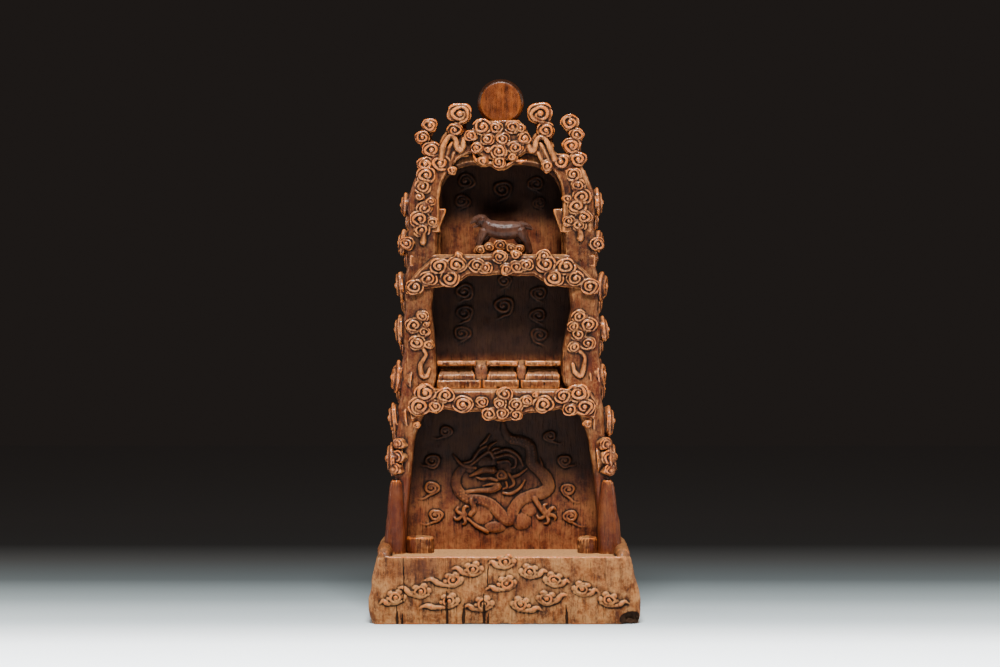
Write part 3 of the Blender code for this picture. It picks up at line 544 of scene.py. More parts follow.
def worn_ends(points, normals):
    """Knocks and rot on the two ends and along the foot: broad noise that only ever takes wood away."""
    x, y, z = points.T
    knock = np.clip(noise(points / (9 * MM), 17) + 0.15 * noise(points / (3 * MM), 19) + 0.1, 0, 1)
    end = np.clip((np.abs(x + 1.4 * MM) - 90 * MM) / (8 * MM), 0, 1)
    foot = 0.6 * np.clip(1 - z / (3 * MM), 0, 1) * (y < PLINTH_FRONT + 6 * MM)
    return -normals * (0.9 * MM * knock * np.maximum(end, foot))[:, None]


plinth = fused("plinth", plinth_stacks(), most=125_000,
               cracks=[crack_down(*crack) for crack in PLINTH_CRACKS] + [broken_corner], wear=[worn_ends])

# %% [markdown]
# ## The back wall and the seats
# Behind the niches stands one thick wall. Shallow clouds are cut on it, and in the lowest niche a coiled
# dragon; three stepped seats stand before it in the middle niche. The back of the shrine is plain.

# %% Back wall, its reliefs and the three seats
BACK_LEFT = ((384, 560), (386, 520), (395, 470), (399, 430), (401, 390), (404, 330), (409, 270), (410, 215),
             (414, 190), (422, 172), (436, 160), (455, 152), (470, 149))
BACK_RIGHT = ((621, 560), (618.5, 520), (609, 470), (606, 430), (604, 390), (600, 330), (595, 270), (592, 215),
              (589, 190), (581, 172), (566, 160), (548, 152), (532, 149))
UPPER_RELIEFS = ((465.7, 181, 11), (502.3, 189.4, 12), (536.3, 183.6, 10), (462, 201.4, 10), (539.8, 203, 8))
MIDDLE_RELIEFS = (
    (464.2, 291.3, 11.5), (504.4, 280.7, 9), (539.4, 293.2, 10), (503.5, 305.6, 13), (464.2, 312.8, 11),
    (538.4, 315.2, 10), (461.8, 333.4, 11), (539.8, 335.3, 11),
)
LOWER_RELIEFS = (
    (445.8, 431.3, 8, -15, 1), (432.2, 460.7, 10, -10, 5), (431.4, 488, 9.5, -17, -3), (435.5, 515.4, 9, -16, 0),
    (550.3, 436.2, 8, 15, 1), (565, 460.7, 9, 10, 5), (568.3, 489.7, 9, 17, -6), (570.8, 516.2, 9, 19, -2),
)
SEAT_STEPS = ((437, 480.7), (482.9, 518.7), (520.9, 560))
SEAT_SLABS = ((437.2, 475.6), (486.6, 517.6), (525.0, 560.6))
SEAT_PANELS = ((474, 488), (516.5, 526.5))


DRAGON_PARTS = (
    (((494, 470), (484, 470), (477, 473), (470, 476)), (4.8, 4.0, 2.6, 1.0)),
    (((497, 480), (490, 478.5), (482, 479), (476, 477)), (2.4, 2.0, 1.6, 0.8)),
    (((499, 486), (491, 490), (480, 490.5), (469, 491.5), (464.5, 492)), (4.6, 3.6, 2.8, 2.2, 1.0)),
    (((497, 484), (489, 484.5), (483, 486)), (1.8, 1.6, 0.8)),
    (((453.3, 455), (460.7, 463.5), (468, 467), (476, 468)), (0.8, 1.8, 2.2, 1.6)),
    (((462.4, 463.5), (470.7, 461), (475.7, 455), (479.8, 449.5), (486.4, 446)), (1.2, 1.8, 2.0, 1.8, 1.2)),
    (((470, 466), (477, 460), (483, 455), (490, 452), (494, 458)), (1.6, 1.8, 2.0, 2.4, 2.4)),
    (((479.8, 446), (486, 440.5), (489.8, 434.4)), (0.8, 1.8, 0.8)),
    (((488, 452), (490, 446), (496.4, 442)), (1.8, 1.8, 0.8)),
    (((490, 452), (495, 448.5), (500, 448)), (1.6, 1.4, 0.7)),
    (((494.7, 453), (506, 449.5), (514.6, 453), (519.6, 458), (523, 466)), (2.0, 2.2, 2.2, 1.8, 0.8)),
    (((496, 457), (508, 454.5), (515.5, 459), (515, 466), (511, 468.5)), (2.0, 2.2, 2.0, 1.8, 0.8)),
    (((498, 462), (507, 461), (511, 464.5)), (2.0, 1.8, 0.8)),
    (((527, 468.5), (519, 474.5), (511, 477.5)), (0.8, 1.9, 1.8)),
    (((525, 480), (520, 488), (511, 493.5), (503, 493)), (0.8, 1.8, 2.0, 1.2)),
    (((508, 473), (512.5, 479), (513.5, 484.5), (509, 488)), (1.6, 1.9, 1.8, 0.9)),
    (((506, 482), (507, 487), (503, 489)), (1.4, 1.5, 0.8)),
    (((540, 458), (541.5, 463), (543, 468)), (0.7, 1.4, 1.0)),
    (((471, 499), (474, 509), (470, 515)), (3.6, 3.4, 3.0)),
    (((534, 497), (539, 506), (545, 514)), (3.6, 3.2, 2.8)),
    (((467, 518), (476.5, 526), (484, 530), (488, 532)), (1.4, 2.2, 2.4, 2.0)),
)
DRAGON_MASSES = (
    (488.5, 471, 3.0, 2.6, 4.4), (487, 462, 9, 7, 2.6), (504, 468, 8, 9, 2.4), (481, 514, 13, 11, 1.9),
    (495, 527, 11, 6, 2.6), (521.5, 521, 10, 9, 2.6), (529, 509, 8, 8, 1.9), (470, 468, 5, 5, 2.0),
)
DRAGON_FEET = ((463.5, 515, 9.0, 80, 280, 4), (547, 514, 9.5, -150, 110, 5))


def back_stacks():
    left, right = (outline(side, TOWER_FRONT, 60) for side in (BACK_LEFT, BACK_RIGHT))
    left[:, 0] += 3 * MM
    right[:, 0] -= 3 * MM
    stacks = [slab(left, right, BACK_FACE, TOWER_BACK - 0.5 * MM)]
    for column, row, radius in UPPER_RELIEFS + MIDDLE_RELIEFS:
        blow = -1 if column < 510 else 1
        tail = (blow * 0.95 * radius * PIXEL, -0.12 * radius * PIXEL)
        stacks += curl(seen(column, row, BACK_FACE + 0.5 * MM), 0.92 * radius * PIXEL, 1.5 * MM, 3 * MM,
                       hand=blow, turns=1.9, tail=tail, petals=0, core=0.14, bar=0.72)
    for column, row, radius, out, up in LOWER_RELIEFS:
        stacks += curl(seen(column, row, BACK_FACE + 0.3 * MM), 0.88 * radius * PIXEL, 2.0 * MM, 3 * MM,
                       hand=-1 if out < 0 else 1, turns=1.8, tail=(out * PIXEL, up * PIXEL), petals=0,
                       core=0.16, bar=0.85)
    return stacks + dragon()


def seat_stacks():
    """Three stepped seats, each level a row, an inset at its ends and how far it stands before the wall."""
    stacks = []
    step = ((388.5, 0, 14.5), (381.0, 0, 14.5), (380.4, 0.4, 14.0))
    riser = ((382, 0.6, 11.5), (375.0, 0.8, 11.5), (374.6, 1.4, 10.8), (369.4, 3.2, 8.6), (368.2, 3.8, 6.5),
             (366.8, 3.8, 5.5), (366.0, 0.6, 7.5), (365.7, 0.0, 13.0), (361.7, 0.0, 13.4), (361.0, 0.4, 12.8))
    for (left, right), (slab_left, slab_right) in zip(SEAT_STEPS, SEAT_SLABS):
        for profile, (first, last) in ((step, (left, right)), (riser, (slab_left, slab_right))):
            levels = []
            for row, inset, ahead in profile:
                front = BACK_FACE - ahead * MM
                x0, x1 = seen((first + inset, last - inset), row, front)[:, 0]
                levels.append((height_of(row, front), x0, x1, front, BACK_FACE + 4 * MM, 0.8 * MM))
            stacks.append(upright(levels, 4))
    for first, last in SEAT_PANELS:
        levels = []
        for row, ahead in ((388, 9), (378, 8.5), (366, 6.0), (362, 3.0), (360, 0)):
            front = BACK_FACE - ahead * MM
            x0, x1 = seen((first, last), row, front)[:, 0]
            levels.append((height_of(row, front), x0, x1, front, BACK_FACE + 4 * MM, 0.5 * MM))
        stacks.append(upright(levels, 3))
    return stacks


def chipped(points, normals):
    """Small losses on the seats' edges: noise above a threshold, taken off along the normal."""
    bite = np.clip(noise(points / (4.5 * MM), 29) + 0.15 * noise(points / (1.5 * MM), 31) - 0.45, 0, 1)
    return -normals * (1.0 * MM * bite)[:, None]


def strand(spots, radii, depth, sides=8, flat=1.0):
    """A cord through spots of the photograph, half sunk in the face that carries it."""
    path = smooth_path(seen(*np.asarray(spots, float).T, depth), 6)
    return cord(path, [r * PIXEL for r in radii], sides, flat)


def dragon():
    """The coiled dragon: a broad looping body, a horned head to the left, a mane of arcs, and clawed feet."""
    body = [(503, 423), (505, 432), (511, 439), (521, 441), (529.5, 446), (531.5, 455), (532, 463), (539, 470),
            (546, 478), (548.5, 487), (542, 493), (531, 496), (521, 500.5), (514, 509), (510, 519), (505, 519),
            (497.5, 511), (490, 504), (480, 500), (468, 498.5), (459.5, 492), (456, 483), (458, 474), (464, 467)]
    sizes = (1.6, 3.6, 5.0, 5.4, 5.6, 5.8, 6.2, 6.4, 6.2, 6.0, 6.0, 6.4, 6.0, 5.4, 5.2, 5.0, 4.4, 3.2)
    stacks = [strand(body, sizes, BACK_FACE - 0.4 * MM, 12, 0.30)]
    spine = smooth_path(seen(*np.array(body[2:-3], float).T, BACK_FACE - 1.5 * MM), 6)
    normal = np.gradient(spine, axis=0)[:, [2, 1, 0]] * np.array((1, 0, -1))
    normal /= np.linalg.norm(normal, axis=1)[:, None] + 1e-9
    stacks.append(cord(spine + normal * 3.1 * MM + np.array((0, 0.7 * MM, 0)), (0.6 * MM, 0.6 * MM), 6))
    for shift in (-1.9, -0.2, 1.5):
        scales = (spine + normal * shift * MM)[int(shift == -0.2)::2]
        stacks += [ball(spot, (0.95 * MM, 0.45 * MM, 0.95 * MM), 5, 8) for spot in scales]
    for spots, radii in DRAGON_PARTS:
        stacks.append(strand(spots, [0.85 * r for r in radii], BACK_FACE - 0.5 * MM, 10))
    for column, row, wide, tall, ahead in DRAGON_MASSES:
        stacks.append(ball(seen(column, row, BACK_FACE), (wide * PIXEL, 0.6 * ahead * MM, tall * PIXEL)))
    stacks += curl(seen(501.4, 475, BACK_FACE - 1.0 * MM), 5.4 * PIXEL, 1.9 * MM, 3 * MM, turns=1.6, petals=0)
    for column, row, reach, first, last, count in DRAGON_FEET:
        stacks.append(ball(seen(column, row, BACK_FACE), (4.2 * PIXEL, 1.8 * MM, 4.2 * PIXEL)))
        for turn in np.radians(np.linspace(first, last, count)):
            spots = [(column + reach * far * math.cos(turn + bend), row - reach * far * math.sin(turn + bend))
                     for far, bend in ((0.2, 0), (0.65, 0.12), (0.95, -0.05), (1.05, -0.35))]
            stacks.append(strand(spots, (2.1, 1.9, 1.6, 0.7), BACK_FACE - 0.5 * MM))
    return stacks


back_wall = fused("back_wall", back_stacks(), most=165_000)
seats = fused("three_seats", seat_stacks(), grain=0.45 * MM, most=15_000, rough=1.6, wear=[chipped])

# %% [markdown]
# ## The two sides
# Each side is a wall that ends in a worn round post below, and above it in clusters of curling clouds.
# Larger layered curls stand out sideways, one over another, and give the shrine its scalloped outline.
# The clouds of the two sides are alike and not mirrored, so each side has its own list.

# %% Side walls, posts and their clouds
SIDE_EDGES = {
    "left": (
        ((383, 560), (386, 520), (395, 480), (392, 460), (397, 440), (395, 418), (401, 397), (398, 378), (404.5, 350),
         (401, 330), (406, 306), (402, 286), (409, 262), (406, 243), (410, 224), (406, 205), (412, 186), (418, 170)),
        ((406, 560), (407, 520), (411, 478), (415, 437), (430, 400), (436, 380), (436, 353), (431.5, 308), (437, 263),
         (438, 223), (438, 190), (441, 172)),
    ),
    "right": (
        ((623, 560), (619.5, 520), (609, 480), (609, 458), (605, 437), (606, 420), (601, 397), (602, 374), (598.5, 352),
         (602, 330), (597, 308), (601, 286), (594, 262), (597, 242), (593, 226), (597, 203), (591, 184), (585, 170)),
        ((599, 560), (598, 520), (594, 478), (588, 437), (574, 400), (562, 380), (561.5, 353), (571, 308), (565, 263),
         (563, 223), (563, 190), (560, 172)),
    ),
}
POST_CLOUDS = {
    "left": (
        (426, 175.3, 8), (422.8, 186.8, 7), (419.7, 196.4, 5), (430.5, 201.5, 5), (424.4, 208.5, 6.5),
        (420, 219.3, 8.5), (432.1, 222.5, 5.5), (421.9, 230.2, 7), (422.6, 316.3, 5.5), (414, 325.5, 7.5),
        (426.5, 324.6, 3.5), (423.9, 331.9, 5.5), (417.2, 342.7, 7), (429, 344.6, 5),
    ),
    "right": (
        (573.8, 174.4, 6.5), (578.3, 185.5, 6), (581.8, 197, 8), (567.7, 198.9, 5), (576.7, 206.2, 8),
        (583.7, 217.4, 7), (568.7, 221.2, 5.5), (579.5, 225, 6), (579.1, 316.6, 6.5), (573.4, 326.8, 5.5),
        (588.4, 324.9, 7.5), (578.5, 334.4, 6.5), (588, 343.4, 6.5), (574, 347.2, 5.5),
    ),
}
BOSSES = {
    "left": ((400, 193, 217), (396.7, 230, 256), (395.6, 270, 301), (395, 315, 345), (391.7, 361, 394),
             (389, 402, 434), (387.4, 441, 476)),
    "right": ((602.5, 188, 217), (604.4, 230, 252.5), (607, 271, 301.6), (609.4, 316.6, 342.7), (604, 359, 389),
              (615, 405, 437), (616, 438, 476)),
}
LUMPS = {"left": (406.9, 243.5, 6), "right": (597.4, 244.2, 6)}
KNOTS = {
    "left": ((398.6, 444, 5), (397, 457, 6), (395.5, 469, 5)),
    "right": ((605.6, 444, 5.5), (608.5, 458, 6.5), (609.5, 470, 5)),
}
DROPS = {"left": ((424, 232), (423.5, 240), (422.8, 243)), "right": ((579.5, 229), (580.5, 236), (580.2, 239))}
HOOKS = {
    "left": ((423.3, 349), (425.8, 355.5), (420.7, 365), (422, 375), (427, 375.5), (429.6, 368.9)),
    "right": ((579.5, 351), (584.5, 357), (584, 366), (581, 375.3), (575, 372), (572.8, 363.8)),
}
STRUTS = {"left": ((414, 415), (411, 425), (407, 437), (404, 449)),
          "right": ((590, 415), (593, 425), (598, 437), (601, 449))}
STUMPS = {
    "left": ((556, 384, 406), (540, 384.3, 405.5), (520, 386.5, 405), (500, 388, 403.5),
             (488, 389.2, 402.6), (483, 390.2, 401.6), (480.5, 392, 399.5)),
    "right": ((556, 597.5, 622), (540, 598, 620), (520, 598, 618.5), (500, 599, 616.2),
              (488, 600.6, 614.8), (483, 601.8, 613.4), (480.5, 603.5, 611)),
}
LUGS = {"left": ((436, 446, 209), (436, 439.5, 228)), "right": ((553.4, 566, 209), (560.5, 566, 232))}


def side_stacks(side):
    sign = -1 if side == "left" else 1
    outer, inner = (outline(edge, TOWER_FRONT, 70) for edge in SIDE_EDGES[side])
    heights = np.linspace(outer[0, 1], outer[-1, 1], 60)
    x_out = np.interp(heights, outer[:, 1], outer[:, 0])
    x_in = np.interp(heights, inner[:, 1], inner[:, 0])
    low, high = (x_out, x_in) if sign < 0 else (x_in, x_out)
    full = np.full(60, 1.0)
    stacks = [upright(np.stack([heights, low, high, TOWER_FRONT * full, (TOWER_BACK - 1 * MM) * full,
                                4.5 * MM * full], -1))]
    stacks += curls(POST_CLOUDS[side], TOWER_FRONT, root=8 * MM, petals=2)
    front_column, back_column = TOWER_FRONT + 11.5 * MM, TOWER_BACK - 14 * MM
    bosses = BOSSES[side]
    for number, (column, top, bottom) in enumerate(bosses):
        radius = 0.5 * (bottom - top) * PIXEL
        x_edge, _, z = seen(column, 0.5 * (top + bottom), front_column)
        wall = float(np.interp(z, heights, x_out)) - sign * 3.5 * MM
        proud = abs(x_edge - wall)
        facing = (sign, dice.uniform(-0.22, 0.05), dice.uniform(-0.12, 0.16))
        stacks.append(mushroom((wall, front_column, z), radius, 0.74 * proud, facing))
        stacks += curl((wall + sign * 0.66 * proud, front_column, z), radius * 0.82, 2.2 * MM, 3 * MM,
                       facing=facing, petals=0)
        z_back = z - 0.5 * 26 * MM
        wall = float(np.interp(z_back, heights, x_out)) - sign * 3.5 * MM
        if number < 6:
            stacks.append(mushroom((wall, back_column, z_back), radius * 0.9, 6.2 * MM, (sign, 0.1, 0)))
            stacks += curl((wall + sign * 5.2 * MM, back_column, z_back), radius * 0.72, 1.9 * MM, 3 * MM,
                           facing=(sign, 0.1, 0), petals=0)
    column, row, radius = LUMPS[side]
    stacks += curl(seen(column, row, TOWER_FRONT - 1.5 * MM), radius * PIXEL, 3 * MM, 5 * MM,
                   facing=(0.3 * sign, -1, 0))
    for column, row, radius in KNOTS[side]:
        stacks.append(ball(seen(column, row, TOWER_FRONT + 5 * MM),
                           (radius * 1.25 * PIXEL, 9 * MM, radius * 1.35 * PIXEL)))
        stacks += curl(seen(column, row, TOWER_FRONT - 1.5 * MM), radius * PIXEL, 3 * MM, 6 * MM,
                       facing=(0.75 * sign, -1, 0))
    stacks.append(strand(DROPS[side], (2.6, 3.4, 3.4), TOWER_FRONT - 0.2 * MM, 12))
    stacks.append(strand(HOOKS[side], (1.6, 2.0, 2.6, 2.9, 2.4, 1.4), TOWER_FRONT - 0.2 * MM, 10))
    stacks.append(strand(STRUTS[side], (5.0, 4.2, 3.6, 4.0), TOWER_FRONT + 3 * MM, 12))
    levels = levels_of(STUMPS[side], TOWER_FRONT - 3 * MM, TOWER_FRONT - 4 * MM, TOWER_FRONT + 14 * MM, 7 * MM)
    stacks.append(upright([(*level[:5], min(0.47 * (level[2] - level[1]), level[5])) for level in levels], 7))
    (a, b, top), (c, d, bottom) = LUGS[side]
    rows = ((bottom, c, d), (top + 3, a, b), (top, a, b))
    levels = levels_of(rows, TOWER_FRONT + 6 * MM, TOWER_FRONT + 3 * MM, TOWER_FRONT + 16 * MM, 1.2 * MM)
    stacks.append(upright(levels))
    return stacks


left_side = fused("left_side", side_stacks("left"), most=150_000)
right_side = fused("right_side", side_stacks("right"), most=150_000)

# %% [markdown]
# ## The shelves
# Two boards cross the tower, and from the front edge of each hangs a fringe of curling clouds: deepest
# at both ends, drawn up between, and on the lower shelf deep again in the middle.

# %% Shelves and their fringes
FRINGES = {
    "upper": (
        ((408, 283), (420, 268), (432, 258), (446, 254.6), (500, 254.4), (556, 254.6), (570, 258), (583, 268), (597, 283)),
        ((406, 294), (423.7, 289), (442.6, 286.7), (460, 281.4), (468, 275.5), (484, 275.8), (500, 274.2),
         (518, 275.8), (534, 275.5), (543, 281.4), (560, 286.7), (580, 289), (598, 294)),
        ((414.6, 287, 7.5), (428.6, 278.9, 7.5), (439.5, 266.3, 8), (449.6, 278.6, 8.5), (456.7, 264.6, 8.5),
         (458.4, 256.1, 4.5), (477, 265.3, 7), (485.4, 268, 6), (499.8, 256.8, 6.5), (506.6, 269.3, 6),
         (515.8, 254.7, 5), (516.5, 267.1, 6.5), (526.4, 264.9, 6), (544, 256.1, 6.5), (545.5, 264.2, 8.5),
         (566, 266.4, 8), (553.9, 277.8, 8.5), (575.2, 278.5, 7.5), (590.2, 286.6, 8)),
    ),
    "lower": (
        ((408, 402), (416, 390), (440, 389.5), (500, 389.5), (565, 389.5), (590, 390), (598, 402)),
        ((412, 422), (426, 413), (445, 409), (462, 412.5), (480, 411.5), (488, 419), (502, 422), (516, 419.5),
         (527, 413), (543, 412.5), (560, 409), (578, 415), (594, 420)),
        ((425.1, 393, 9), (419.4, 406.4, 9.5), (435.5, 406.4, 6.5), (445.4, 395.3, 7.5), (463, 404.5, 8.5),
         (481.8, 402.2, 5.5), (489.5, 414, 6.5), (504.6, 394, 7), (499.5, 403.9, 6), (516.3, 404.7, 6.5),
         (526.6, 400.8, 5.5), (501.6, 413.3, 6), (516.3, 415, 5.5), (535.7, 394.8, 3.5), (543.4, 404.3, 8.5),
         (563.6, 396.1, 7.5), (578.3, 393.1, 9), (570.1, 409.5, 6.5), (584.7, 406.9, 8.5), (416.7, 425.1, 3.5),
         (587.3, 424.1, 4)),
    ),
}


def shelf_stacks(which):
    top, edge, clouds = FRINGES[which]
    level = UPPER_SHELF if which == "upper" else LOWER_SHELF
    reach = seen((top[0][0] + 2, top[-1][0] - 2), top[0][1], TOWER_FRONT)[:, 0]
    board = [(x, level) for x in np.linspace(*reach, 12)]
    under = [(x, level - 10 * MM) for x in np.linspace(*reach, 12)]
    stacks = [slab(board, under, TOWER_FRONT, BACK_FACE + 3 * MM)]
    stacks.append(slab(outline(top, FRINGE_FRONT, 60), outline(edge, FRINGE_FRONT, 60),
                       FRINGE_FRONT, TOWER_FRONT + 11 * MM, 2 * MM))
    return stacks + curls(clouds, FRINGE_FRONT, root=9 * MM, petals=2)


upper_shelf = fused("upper_shelf", shelf_stacks("upper"), most=75_000)
lower_shelf = fused("lower_shelf", shelf_stacks("lower"), most=75_000)

# %% [markdown]
# ## The crest
# The roof of the upper niche is an arch, and from it grow two inner and two outer horns of stacked
# clouds, folded ribbons, and a cluster of clouds that carries the sun: a plain thick disc with a wide
# bevel, polished flat.

# %% Roof, horns, cluster and sun
ARCH_INNER = ((440, 232), (439, 200), (441, 184), (446, 174), (453, 165), (460, 157), (470, 153), (500, 151), (531, 153),
              (541, 157), (549, 165), (556, 174), (561, 184), (563, 200), (562, 232))
ARCH_OUTER = ((412, 232), (413, 196), (417, 178), (423, 163), (432, 154), (443, 147.5), (460, 140), (500, 136),
              (540, 141), (557, 153.5), (571, 154), (581, 163), (587, 178), (590, 196), (592, 232))
CLUSTER_LEFT = ((490, 160), (480, 156.5), (473, 151), (470, 143), (470, 134), (477, 125), (486, 121))
CLUSTER_RIGHT = ((510, 160), (521, 156), (529, 150.5), (531, 143), (529, 134), (524, 125), (519, 120))
CLUSTER_HEM = ((472.5, 153), (476, 160), (483, 164), (491, 163), (499.8, 167.2), (508, 164.6), (514, 160.5), (521, 161.5),
               (527, 160))
VAULT_INNER = ((440, 256), (440, 232), (439, 200), (441, 187), (447, 177), (456, 169), (468, 165), (500, 163.5),
               (532, 165), (545, 169), (554, 177), (560, 187), (563, 200), (562, 232), (562, 256))
CREST_CLOUDS = (
    (481.9, 126.8, 8), (495.7, 127.6, 6), (512.5, 127.3, 6.5), (520.5, 128.5, 5), (471, 135.5, 5.5), (487.3, 139.1, 6),
    (502.6, 139.1, 6.5), (524, 138.3, 6), (477.1, 147.8, 5.5), (498.8, 151.6, 7), (515.1, 147.8, 6.5), (483, 161, 5),
    (499.3, 162, 6), (512.6, 156.9, 4.5), (487.6, 149.8, 3.4),
)
HORN_CLOUDS = (
    (459.7, 114, 10.5), (455.1, 130.2, 7), (429.7, 125.6, 6.8), (422.3, 137.5, 6.5), (431.6, 150, 8), (440, 163.3, 8.5),
    (425.3, 164.1, 7), (451.9, 170.3, 4.5), (540.3, 114, 11), (546, 130.5, 8), (569.9, 122.6, 8), (576.6, 134.8, 6.5),
    (571.5, 146, 8), (578, 159.5, 7.5), (560.7, 161.9, 8), (547.4, 166, 6),
)
HORNS = (
    (((463, 152), (461, 138), (459, 126), (460, 116)), (8.5, 7.5, 7.5, 9)),
    (((431, 168), (432, 152), (425, 139), (430, 127)), (9, 7.5, 6.5, 6)),
    (((543, 152), (545, 138), (544, 126), (541, 116)), (8.5, 8, 8, 9.5)),
    (((573, 168), (573, 150), (575, 136), (570, 124)), (9, 8, 7, 7)),
)
RIBBONS = (
    ((441, 160), (443, 148), (447, 139), (452, 136), (455.5, 140), (457, 147), (460.3, 149), (463, 146), (464, 138)),
    ((555, 160), (550, 148), (545, 139), (540, 137.3), (536.5, 141), (534.5, 148), (531.4, 150), (528.5, 146), (528, 139)),
)
SUN_FACE = 19.3 * PIXEL


def crest_stacks():
    vault_outer = ((414, 256),) + ARCH_OUTER + ((590, 256),)
    stacks = [
        slab(outline(first, depth, count), outline(second, depth, count), front, back, edge)
        for first, second, depth, count, front, back, edge in (
            (ARCH_INNER, ARCH_OUTER, TOWER_FRONT, 60, TOWER_FRONT, TOWER_BACK - 1 * MM, 1.2 * MM),
            (VAULT_INNER, vault_outer, TOWER_FRONT, 60, TOWER_FRONT + 7 * MM, TOWER_BACK - 1 * MM, 3 * MM),
            (CLUSTER_LEFT, CLUSTER_RIGHT, FRINGE_FRONT, 30, FRINGE_FRONT, TOWER_FRONT + 17 * MM, 3 * MM),
        )
    ]
    stacks.append(strand(CLUSTER_HEM, (0.8, 1.4, 1.6, 1.3, 1.7, 1.3, 1.5, 1.3, 0.6), FRINGE_FRONT + 1.2 * MM, 10))
    stacks.append(strand(CLUSTER_HEM[1:-1], (3, 3.6, 3), FRINGE_FRONT + 5 * MM, 10))
    stacks += curls(CREST_CLOUDS, FRINGE_FRONT, root=10 * MM, petals=2)
    stacks += curls(HORN_CLOUDS, TOWER_FRONT, root=10 * MM)
    for spots, radii in HORNS:
        stacks.append(strand(spots, radii, TOWER_FRONT + 7 * MM, 14))
    for spots in RIBBONS:
        toward = 1 if spots[0][0] < 500 else -1
        stacks.append(strand(spots, (3.4, 3.0, 2.4, 2.3, 2.5, 3.2, 3.8, 3.0, 1.8), TOWER_FRONT - 0.8 * MM, 10))
        for shift, drop in ((4.6, 5), (8.4, 12)):
            folds = [(column + toward * shift, row + drop) for column, row in spots[:4]]
            stacks.append(strand(folds, (2.2, 2.0, 1.4), TOWER_FRONT + 0.6 * MM, 8))
        stacks.append(strand(spots[1:6], (5, 6, 5), TOWER_FRONT + 5 * MM, 10))
    return stacks


def sun_stacks():
    """The disc: rings of radius r at depth y, flat in front, with a wide bevel and a rounded back."""
    profile = ((0.55, 0.15), (0.85, 0.0), (1.0, 0.0), (1.06, 0.5), (1.17, 3.0), (1.205, 5.0), (1.205, 9.0),
               (1.12, 11.5), (0.7, 12))
    cos, sin = circle(96)
    middle = seen(*SUN, TOWER_FRONT + 1.2 * MM)
    rings = [middle + np.array((0, y * MM, 0)) + SUN_FACE * r * (cos * (1, 0, 0) + sin * (0, 0, 1))
             for r, y in profile]
    return [np.array(rings), strand(((SUN[0], 126), (SUN[0], 118)), (9, 9), TOWER_FRONT + 8 * MM)]


crest = fused("crest", crest_stacks(), most=145_000)
sun = fused("sun_disc", sun_stacks(), grain=0.5 * MM, most=16_000, soften=2, rough=0.35, deep=20)

# %% [markdown]
# ## The beast
# A small beast stands on a mound of cloud in the upper niche, head to the left. Handling has polished
# it nearly black. Its body and legs are separate egg and bar forms, softened until they flow together.

# %% Beast and mound
BEAST_DEPTH = TOWER_FRONT + 11 * MM
BEAST_BARS = (
    (((484, 224), (491, 228), (502, 230.6), (513, 229.8), (521, 228)), (5.6, 8.4, 9.6, 9.2, 6.6)),
    (((489, 226.5), (484, 222), (481, 219.5)), (7.0, 5.6, 5.2)),
    (((480, 218.6), (475, 219.8), (470.8, 223.2)), (4.6, 3.4, 1.2)),
    (((520, 226), (527, 226.5), (532, 229)), (5.2, 3.6, 1.6)),
    (((484, 231), (479.5, 242), (477.5, 252.5)), (5.0, 3.3, 3.5)),
    (((489, 232), (485, 242), (483.5, 252.5)), (4.8, 2.8, 3.0)),
    (((520, 231), (526.5, 241.5), (529.5, 252.5)), (6.4, 3.8, 3.6)),
    (((516, 233), (520.5, 243), (523, 252.5)), (6.0, 3.0, 3.0)),
    (((479, 224.2), (475.5, 226.2), (473, 227)), (2.4, 1.7, 0.9)),
)
MOUND = ((480, 250, 5), (489, 247.5, 5), (500.5, 245.5, 5.6), (510.8, 248.3, 5), (519.3, 249.2, 4.6))


def beast_stacks():
    stacks = [ball(seen(481.8, 220.4, BEAST_DEPTH), (6.6 * PIXEL, 4.6 * MM, 6.2 * PIXEL))]
    for number, (spots, radii) in enumerate(BEAST_BARS):
        depth = BEAST_DEPTH + (2.6 * MM if number in (5, 7) else (-2.0 * MM if number in (4, 6) else 0))
        stacks.append(strand(spots, radii, depth, 14))
    stacks += curl(seen(482.6, 219.3, BEAST_DEPTH - 4.2 * MM), 2.7 * PIXEL, 1.3 * MM, 2 * MM, turns=1.1)
    return stacks


def mound_stacks():
    low, high = (seen(ends, row, BEAST_DEPTH)[:, 0] for ends, row in (((475, 525), 253), ((477, 523), 250)))
    stacks = [upright([(UPPER_SHELF - 2 * MM, *low, BEAST_DEPTH - 5 * MM, BEAST_DEPTH + 6 * MM, 4 * MM),
                       (UPPER_SHELF + 2.5 * MM, *high, BEAST_DEPTH - 4 * MM, BEAST_DEPTH + 5 * MM, 4 * MM)])]
    for column, row, radius in MOUND:
        stacks.append(ball(seen(column, row, BEAST_DEPTH), (radius * 1.1 * PIXEL, 6 * MM, radius * 1.1 * PIXEL)))
        stacks += curl(seen(column, row, BEAST_DEPTH - 4.5 * MM), radius * 0.9 * PIXEL, 1.8 * MM, 4 * MM, turns=1.1)
    return stacks


beast = fused("beast", beast_stacks(), grain=0.32 * MM, most=30_000, soften=7, rough=0.3, deep=20)
mound = fused("cloud_mound", mound_stacks(), grain=0.4 * MM, most=20_000)

# %% Stubs left on the plinth's floor
STUBS = (
    ((553, 406.5, 433.5), (547, 406, 434), (539, 406.5, 433.5), (537.6, 408, 432)),
    ((554.5, 578, 598.5), (547, 577.5, 599), (540, 578, 598), (538, 580, 596.5)),
)


def stub_stacks():
    stacks = []
    for rows in STUBS:
        levels = levels_of(rows, TOWER_FRONT, TOWER_FRONT - 1 * MM, TOWER_FRONT + 19 * MM, 7.5 * MM)
        stacks.append(upright([(FLOOR - 3 * MM, *levels[0][1:])] + levels, 7))
    return stacks


stubs = fused("cut_off_stubs", stub_stacks(), most=14_000, rough=2.0)

